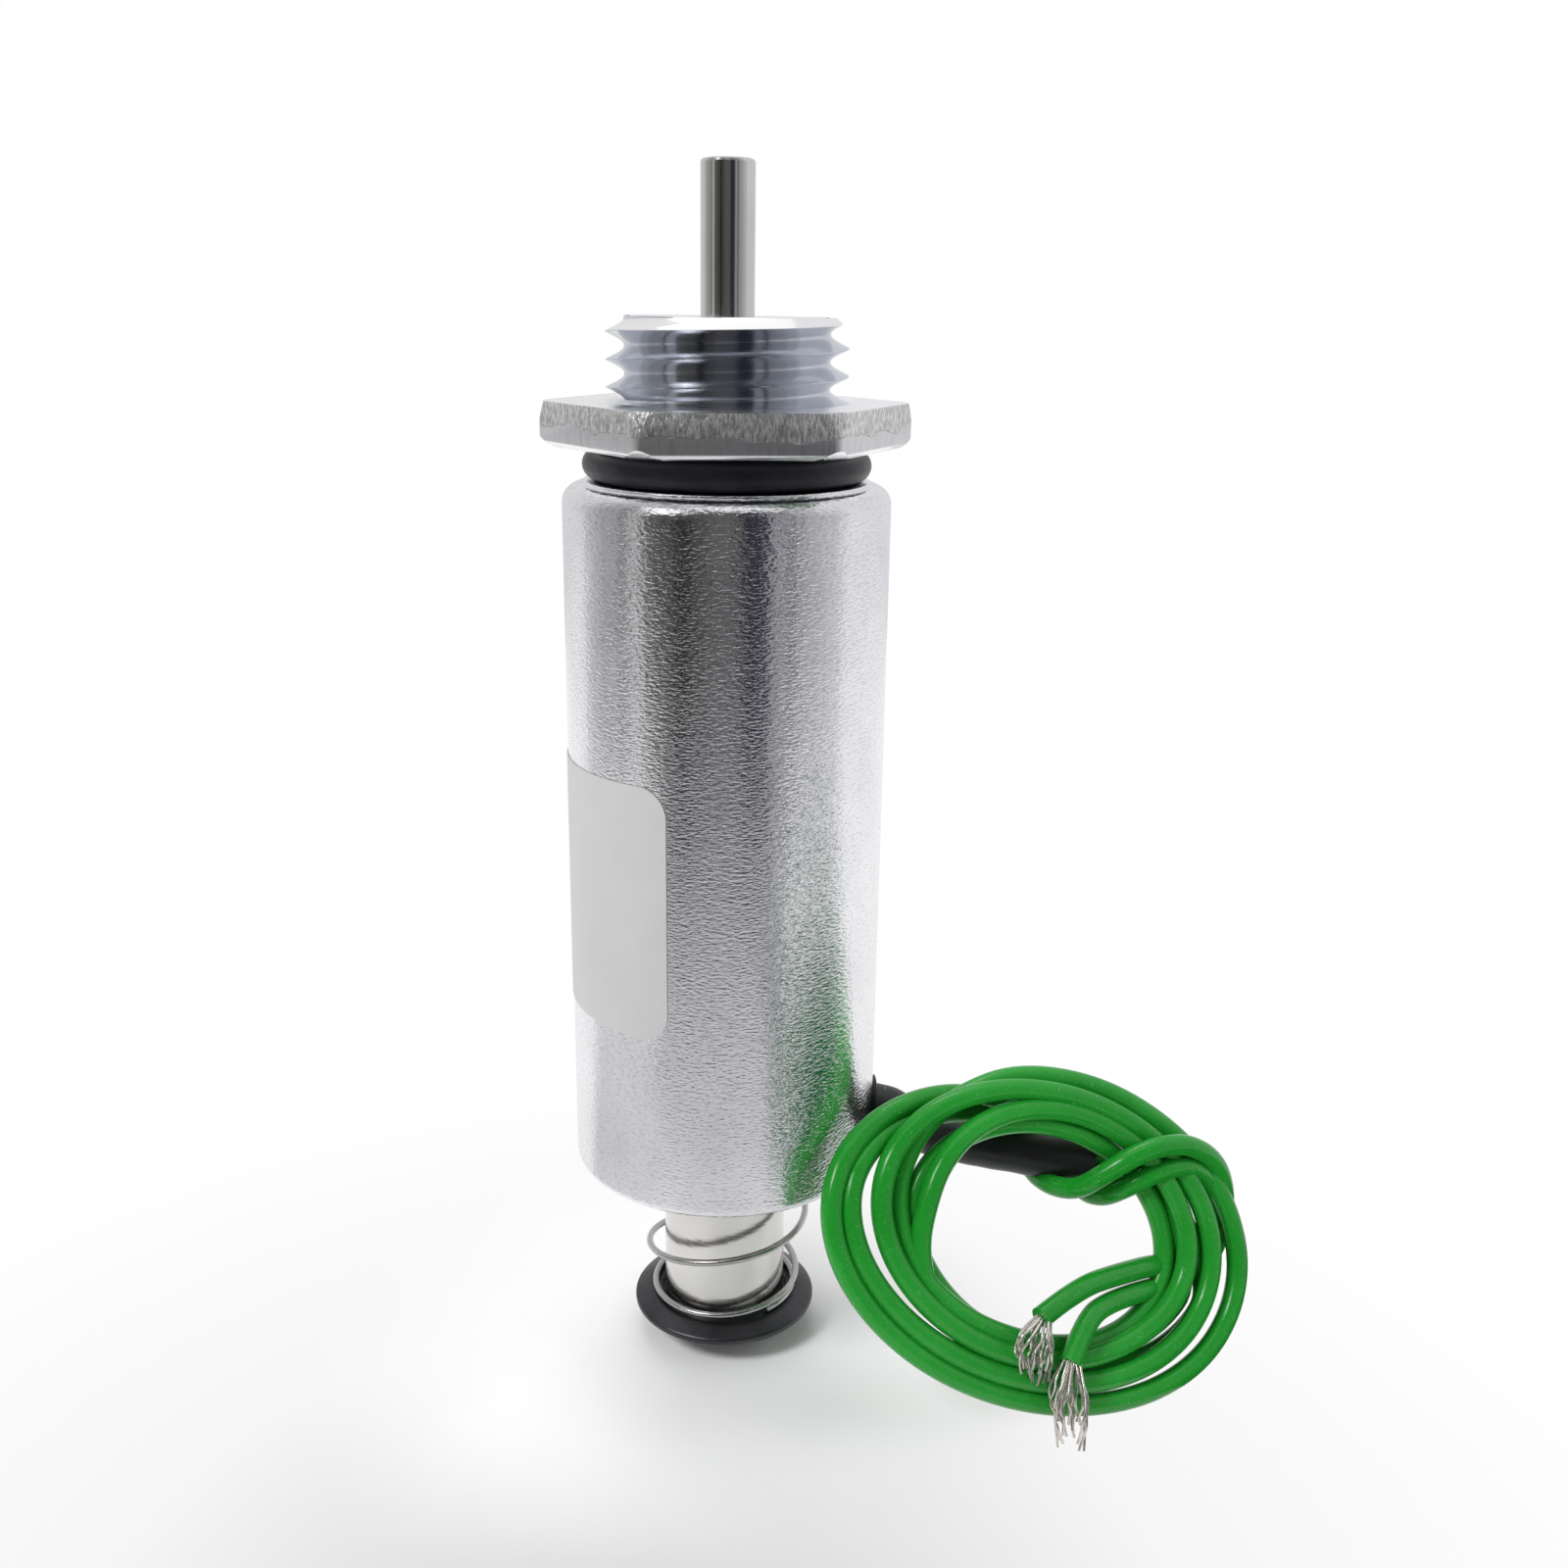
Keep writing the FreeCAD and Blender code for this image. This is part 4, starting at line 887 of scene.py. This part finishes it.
# Stations of the turns: degrees gone round clockwise from the long axis, place across the
# bundle from 0 inside to 1 outside, and millimetres out of the coil's plane to the front.
TURNS_A = [
    (0, 0.72, -0.85), (90, 0.36, -0.75), (135, 0.15, -0.3), (180, -0.05, 0.5), (225, 0.16, 0.75),
    (270, 0.47, 0.75), (315, 0.34, 0.75), (360, 0.24, 0.65), (405, 0.12, 0.75), (450, 0.2, 0.75),
    (495, 0.34, 0.6), (540, 0.5, 0.4), (585, 0.66, 0.6), (630, 0.76, 0.8), (675, 0.66, 0.8),
    (720, 0.56, 0.65), (765, 0.56, 0.6), (810, 0.6, 0.5), (855, 0.72, 0.2), (900, 0.82, -0.1),
    (925, 0.7, -1.0), (945, 0.48, -2.2), (967, 0.22, -3.4),
]
TURNS_B = [
    (0, 0.42, -0.85), (90, 0.0, -0.95), (135, -0.04, -0.95), (180, 0.06, -0.95),
    (225, 0.08, -0.6), (270, 0.13, -0.3), (315, 0.08, -0.5), (360, 0.08, -0.75),
    (405, 0.0, -0.2), (450, -0.1, 0.35), (495, 0.1, 0.0), (540, 0.26, -0.5),
    (585, 0.56, -0.8), (610, 0.95, -0.8), (630, 1.13, -0.4), (675, 1.06, 0.0), (720, 0.96, 0.1),
    (765, 0.98, 0.1), (810, 0.98, 0.1), (855, 1.02, 0.0), (900, 1.02, -0.1), (920, 0.93, -0.7),
    (940, 0.83, -1.4), (960, 0.66, -2.4), (978, 0.38, -3.6),
]
# The wrap over the bundle, and the way behind it to the free ends: along the coil's long and
# short axes and out of its plane, in millimetres.
WRAP_A = [
    (-1.0, 8.7, -7.0), (0.4, 6.8, -7.9), (0.9, 5.1, -5.6), (1.5, 4.4, -3.0), (2.6, 4.6, -0.9),
    (3.7, 6.2, 0.7), (5.2, 8.2, 2.0), (7.5, 9.8, 2.5), (10.5, 10.6, 1.9), (13.8, 10.1, 0.7),
    (16.0, 8.2, -0.5), (17.1, 5.7, -1.5), (17.3, 2.9, -2.4), (15.6, 0.3, -2.5),
]
WRAP_B = [
    (4.1, 8.4, -7.0), (4.8, 6.4, -6.6), (4.8, 4.9, -4.4), (5.4, 4.6, -1.9), (6.4, 5.8, 0.0),
    (8.0, 7.5, 1.2), (10.2, 8.8, 1.3), (12.9, 8.9, 0.4), (15.1, 7.5, -0.7), (16.2, 5.2, -1.7),
    (16.3, 2.2, -2.7), (14.5, -0.7, -2.6),
]


def in_coil(long, short, out):
    """Point from millimetres along the coil's axes and out of its plane."""
    return COIL_CENTRE + (COIL_LONG * long + COIL_SHORT * short + COIL_OUT * out) * MM


def wound(stations, steps=16):
    """Control points of the wound turns, with steps in each turn."""
    last = stations[-1][0]
    count = round(last / 360 * steps)
    swell = 1 / math.cos(math.pi / steps)
    points = []
    for step in range(count + 1):
        angle = last * step / count
        across, out = between(stations, angle)
        turn = -math.radians(angle)
        long, short = (inner + share * across
                       for inner, share in zip(INNER_HALVES, BUNDLE_HALVES))
        points.append(in_coil(long * math.cos(turn) * swell, short * math.sin(turn) * swell,
                              out))
    return points


def lead(name, side, turns, wrap, tail, gone):
    """One lead as a smooth curve, with the points of its route."""
    rise = Vector((0, 0, side * SPREAD * MM))
    points = [point + rise for point in (*SLEEVE_ROUTE[1:], LEAD_END)]
    points += wound(turns)
    points += [in_coil(*place) for place in wrap]
    points += tail
    curve = new_curve(name, 8, LEAD_RADIUS, 6)
    add_line(curve, points)
    piece = placed(name, curve, GREEN, "housing")
    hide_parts(*gone)
    return piece, points


def length_of(points):
    """Length of the smooth line through a route."""
    line = line_of(points, 8)
    return sum((b - a).length for a, b in zip(line, line[1:]))


lead_a, points_a = lead("lead_upper", 1, TURNS_A, WRAP_A, TAIL_A,
                        ["lead_run_a", "lead_tail_a", "lead_coil"])
lead_b, points_b = lead("lead_lower", -1, TURNS_B, WRAP_B, TAIL_B, ["lead_run_b", "lead_tail_b"])


# Shrink sleeve over both leads: narrower at its start, flared at its end, slightly rippled

SLEEVE_RADIUS = 2.05 * MM
SLEEVE_WALL = 0.28 * MM
SLEEVE_TAPER, TAPER_END = 0.14 * MM, 0.45
SLEEVE_FLARE, FLARE_START = 0.18 * MM, 0.85
SLEEVE_RIPPLE = 0.03 * MM

bm = bmesh.new()
frames = frames_along(line_of(SLEEVE_ROUTE, 16))
sizes = []
for step in range(len(frames)):
    share = step / (len(frames) - 1)
    flare = SLEEVE_FLARE * max(share - FLARE_START, 0) / (1 - FLARE_START)
    ripple = SLEEVE_RIPPLE * math.sin(share * 40) * math.sin(share * 13)
    girth = SLEEVE_RADIUS - SLEEVE_TAPER * max(TAPER_END - share, 0) / TAPER_END
    sizes.append((girth + 0.02 * MM + flare + ripple, girth - 0.12 * MM + ripple))
inner_sizes = [(across - SLEEVE_WALL, up - SLEEVE_WALL) for across, up in sizes[::-1]]
start_rim, end_rim = sweep(bm, frames + frames[::-1], sizes + inner_sizes, 40)
bmesh.ops.bridge_loops(bm, edges=list(start_rim | end_rim))
bmesh.ops.recalc_face_normals(bm, faces=bm.faces)
sleeve = finished("shrink_sleeve", bm, SHRINK, "housing", 50)
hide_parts("lead_sleeve")


# Bare strands at both ends

STRAND_RADIUS = 0.115 * MM
BUNDLE_RADIUS = 0.52 * MM
TURN_APART = 2.4
STRAND_POINTS = 6


def frayed(name, start, before, end, count, seed, gone):
    """Loose tinned strands that splay from a stripped end."""
    luck = random.Random(seed)
    curve = new_curve(name, 5, STRAND_RADIUS, 2)
    heading = (start - before).normalized()
    reach = end - start
    across = reach.orthogonal().normalized()
    third = reach.normalized().cross(across)
    for strand in range(count):
        angle = TURN_APART * strand
        root = BUNDLE_RADIUS * math.sqrt((strand + 0.5) / count)
        bulge = luck.uniform(0.1, 1.15) * MM
        splay = luck.uniform(-0.1, 0.8) * MM
        span = luck.uniform(0.66, 1.03)
        swing = luck.uniform(-1.1, 1.6)
        points = [start - heading * 0.6 * MM
                  + (across * math.cos(angle) + third * math.sin(angle)) * root]
        for step in range(1, STRAND_POINTS + 1):
            share = step / STRAND_POINTS
            spin = angle + share * swing
            out = root + bulge * math.sin(math.pi * share ** 0.8) + splay * share ** 2
            wander = 0.3 * MM * math.sin(math.pi * share)
            side = across * (math.cos(spin) * out + wander * luck.uniform(-1, 1))
            side += third * (math.sin(spin) * out + wander * luck.uniform(-1, 1))
            ahead = heading * (0.55 * MM * math.sin(math.pi * min(share * 1.1, 1)))
            point = start + reach * (share * span) + side + ahead
            point.z = max(point.z, 0.13 * MM)
            points.append(point)
        add_line(curve, points)
    piece = placed(name, curve, TIN, "housing")
    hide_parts(gone)
    return piece


strands_a = frayed("bare_strands_upper", TAIL_A[-1], TAIL_A[-2], mm(24.3, -17.3, 5.1), 17, 3,
                   "strands_a")
strands_b = frayed("bare_strands_lower", TAIL_B[-1], TAIL_B[-2], mm(27.1, -18.3, 0.35), 18, 8,
                   "strands_b")

for piece, points, side, others in ((lead_a, points_a, 1, [strands_a, sleeve]),
                                    (lead_b, points_b, -1, [strands_b, sleeve])):
    length_of(points)


# Finish of the CAD nodes that stay

for node, material in {
    "end_plate": ZINC_PLATE, "guide_tube": BRASS, "bobbin": NYLON, "coil_winding": COPPER,
    "winding_tape": TAPE, "insulating_washer": FIBRE, "pole_shim": BRASS,
    "retaining_clip": STEEL_WIRE, "solder_joints": TIN,
}.items():
    for slot in bpy.data.objects[node].material_slots:
        slot.material = material


# Floor, light and the cards that the metal mirrors

def rays_that_see(tree):
    """1 for camera, gloss and transmission rays, 0 for the rays that light the part."""
    path = tree.nodes.new("ShaderNodeLightPath").outputs
    seen = maths(tree, "MAXIMUM", path["Is Camera Ray"], path["Is Glossy Ray"])
    return maths(tree, "MAXIMUM", seen, path["Is Transmission Ray"])


def away_from(tree, place, point, near, far, **settings):
    """0 up to the near distance from a point, 1 past the far one."""
    offset = shade(tree, "ShaderNodeVectorMath", {0: place, 1: point}, operation="DISTANCE")
    return shade(tree, "ShaderNodeMapRange", {
        "Value": offset.outputs["Value"], "From Min": near, "From Max": far},
        **settings).outputs[0]


def floor_paint():
    """White floor that takes the part's shadow, with a soft painted shade in front of the part,
    and runs into the white background.
    """
    material, tree, shader, place = new_material("floor_paint")
    fine, slow = grain(tree, place, 60.0)
    link(tree, ramp(tree, fine, (0.3, (0.90, 0.90, 0.905)), (0.7, (0.93, 0.93, 0.935))),
         shader, "Base Color")
    link(tree, ramp(tree, slow, (0.3, 0.55), (0.7, 0.7)), shader, "Roughness")
    shader.inputs["Specular IOR Level"].default_value = 0.2
    clear = away_from(tree, place, (-0.003, -0.006, 0), 0.009, 0.034,
                      interpolation_type="SMOOTHSTEP")
    # Grey patch in front of the part that pales to white away from it: painted shade on the
    # floor.
    painted_shade_fade = away_from(tree, place, (-0.006, -0.037, 0), 0.0, 0.1)
    white = shade(tree, "ShaderNodeEmission", {
        "Color": ramp(tree, painted_shade_fade, (0.02, 0.6), (0.2, 0.78), (0.38, 0.92), (0.8, 1.0)),
        "Strength": 1.0})
    mixed = shade(tree, "ShaderNodeMixShader", {
        0: maths(tree, "MULTIPLY", clear, rays_that_see(tree)), 1: shader.outputs[0],
        2: white.outputs[0]})
    output = next(node for node in tree.nodes if node.bl_idname == "ShaderNodeOutputMaterial")
    tree.links.new(mixed.outputs[0], output.inputs["Surface"])
    return material


bm = bmesh.new()
bmesh.ops.create_grid(bm, x_segments=2, y_segments=2, size=3.0)
floor = finished("floor", bm, floor_paint())


def card_paint(name, tone, far_tone=None):
    """Plain glow, or one that runs through two more tones away from the part."""
    material = bpy.data.materials.new(name)
    material.use_nodes = True
    tree = material.node_tree
    tree.nodes.clear()
    output = tree.nodes.new("ShaderNodeOutputMaterial")
    glow = shade(tree, "ShaderNodeEmission", {"Color": (*tone, 1), "Strength": 1.0})
    tree.links.new(glow.outputs[0], output.inputs["Surface"])
    if far_tone:
        place = tree.nodes.new("ShaderNodeTexCoord").outputs["Object"]
        away = away_from(tree, place, (0, 0, 0), 0.075, 0.17)
        link(tree, ramp(tree, away, (0.0, tone), (0.35, far_tone[0]), (1.0, far_tone[1])),
             glow, "Color")
    return material


def gloss_only(piece):
    """Stage piece that only the part's gloss sees."""
    piece.visible_camera = False
    piece.visible_diffuse = False
    piece.visible_shadow = False
    piece.visible_transmission = False


def card(name, first, last, inner, outer, tone, far_tone=None):
    """Card swept round the part from (radius, height) to (radius, height), for gloss only.

    The angles are degrees from the camera's side towards +X.
    """
    bm = bmesh.new()
    turn = math.radians(first - 90)
    geom = drawn(bm, [(radius * math.cos(turn), radius * math.sin(turn), height)
                      for radius, height in (inner, outer)], closed=False)
    bmesh.ops.spin(bm, geom=geom, cent=(0, 0, 0), axis=(0, 0, 1),
                   angle=math.radians(last - first), steps=24, use_merge=False,
                   use_duplicate=False)
    gloss_only(finished(name, bm, card_paint(name, tone, far_tone)))


# Stripes of the wall in front of the part: first and last angle, and tone.
WALL_RADIUS, WALL_HEIGHT = 0.16, 0.35
SIDE_RADIUS, SIDE_HEIGHT = 0.3, 0.5
OVER_FLOOR = 0.0005
STRIPES = [
    (-112, -97, (0.52, 0.52, 0.53)), (-97, -74.5, (0.37, 0.37, 0.37)),
    (-74.5, -70.5, (0.05, 0.05, 0.05)), (-70.5, -58, (0.48, 0.48, 0.48)),
    (-58, -45.5, (0.11, 0.11, 0.10)), (-45.5, -33, (0.08, 0.078, 0.073)),
    (-33, -25, (0.012, 0.012, 0.012)), (-25, -13.5, (0.075, 0.072, 0.07)),
    (-13.5, 10, (0.115, 0.113, 0.113)), (10, 29, (0.03, 0.03, 0.042)),
    (29, 40, (0.34, 0.34, 0.36)), (40, 45, (0.07, 0.07, 0.07)), (45, 56, (0.37, 0.37, 0.38)),
    (56, 68, (0.44, 0.44, 0.45)), (68, 84, (0.58, 0.58, 0.59)),
]
for index, (first, last, tone) in enumerate(STRIPES):
    card(f"card_wall_{index}", first, last, (WALL_RADIUS, 0.0), (WALL_RADIUS, WALL_HEIGHT), tone)
for name, first, last, tone in (("card_side_left", -180, -112, (0.74, 0.74, 0.75)),
                                ("card_side_right", 84, 180, (0.78, 0.78, 0.80))):
    card(name, first, last, (SIDE_RADIUS, 0.0), (SIDE_RADIUS, SIDE_HEIGHT), tone)
# Grey floor cards for gloss only, the front one darker away from the part: painted shade of the
# floor towards the camera.
card("card_front_floor", -46, 40, (0.045, OVER_FLOOR), (0.16, OVER_FLOOR), (0.62, 0.62, 0.64),
     ((0.50, 0.50, 0.52), (0.16, 0.16, 0.165)))
card("card_left_floor", -106, -46, (0.03, OVER_FLOOR), (0.1, OVER_FLOOR), (0.66, 0.66, 0.68))


def green_card():
    """Glowing green card flat on the floor, for gloss only: a painted reflection of the wound
    leads, which the can mirrors beside the hank.
    """
    edge = [(100, -26), (98, -14), (92, -3), (84, 5), (74, 10), (63, 13), (50, 11), (44, 6),
            (42, 0), (38, -12), (34, -22), (30, -30), (27, -36), (25.5, -41), (25, -46),
            (26, -51), (30, -55), (36, -58), (44, -59), (53, -59), (62, -57), (72, -54),
            (82, -49), (90, -42), (96, -34)]
    bm = bmesh.new()
    bm.faces.new([bm.verts.new(mm(across, along, 0.9)) for across, along in edge])
    # Green glow: painted reflection of the wound leads.
    gloss_only(finished("card_green", bm, card_paint("card_green", (0.008, 0.10, 0.032))))


green_card()


def area_light(name, place, aim, size, power):
    """Round lamp, in watts, that faces its aim."""
    lamp = bpy.data.lights.new(name, "AREA")
    lamp.shape = "DISK"
    lamp.size = size
    lamp.energy = power
    holder = bpy.data.objects.new(name, lamp)
    bpy.context.scene.collection.objects.link(holder)
    holder.location = place
    holder.rotation_euler = (Vector(aim) - Vector(place)).to_track_quat("-Z", "Y").to_euler()


area_light("light_back", (-0.08, 0.42, 0.62), (0, 0, 0.02), 0.5, 1.9)
area_light("light_right", (0.55, -0.1, 0.42), (0, 0, 0.04), 0.4, 0.7)
area_light("light_left", (-0.38, -0.30, 0.52), (0, 0, 0.04), 0.2, 2.7)

world = bpy.data.worlds.new("studio")
bpy.context.scene.world = world
world.use_nodes = True
tree = world.node_tree
tree.nodes.clear()
strength = shade(tree, "ShaderNodeMapRange", {
    "Value": rays_that_see(tree), "To Min": 0.42, "To Max": 1.0})
sky = shade(tree, "ShaderNodeBackground", {"Color": (1, 1, 1, 1),
                                           "Strength": strength.outputs[0]})
tree.links.new(sky.outputs[0], tree.nodes.new("ShaderNodeOutputWorld").inputs["Surface"])


# Camera of the photograph

pitch, yaw, roll = math.radians(16.699), math.radians(2.129), math.radians(0.807)
ahead = Vector((math.sin(yaw) * math.cos(pitch), math.cos(yaw) * math.cos(pitch),
                -math.sin(pitch)))
level = Vector((math.cos(yaw), -math.sin(yaw), 0))
above = level.cross(ahead)
right = level * math.cos(roll) + above * math.sin(roll)
up = above * math.cos(roll) - level * math.sin(roll)
lens = bpy.data.cameras.new("camera")
lens.sensor_width = 36
lens.lens = 37.341
lens.clip_start = 0.01
camera = bpy.data.objects.new("camera", lens)
bpy.context.scene.collection.objects.link(camera)
turn = Matrix((right, up, -ahead)).transposed().to_4x4()
camera.matrix_world = Matrix.Translation((0, -0.125042, 0.086656)) @ turn
bpy.context.scene.camera = camera
bpy.context.scene.view_settings.view_transform = "Standard"
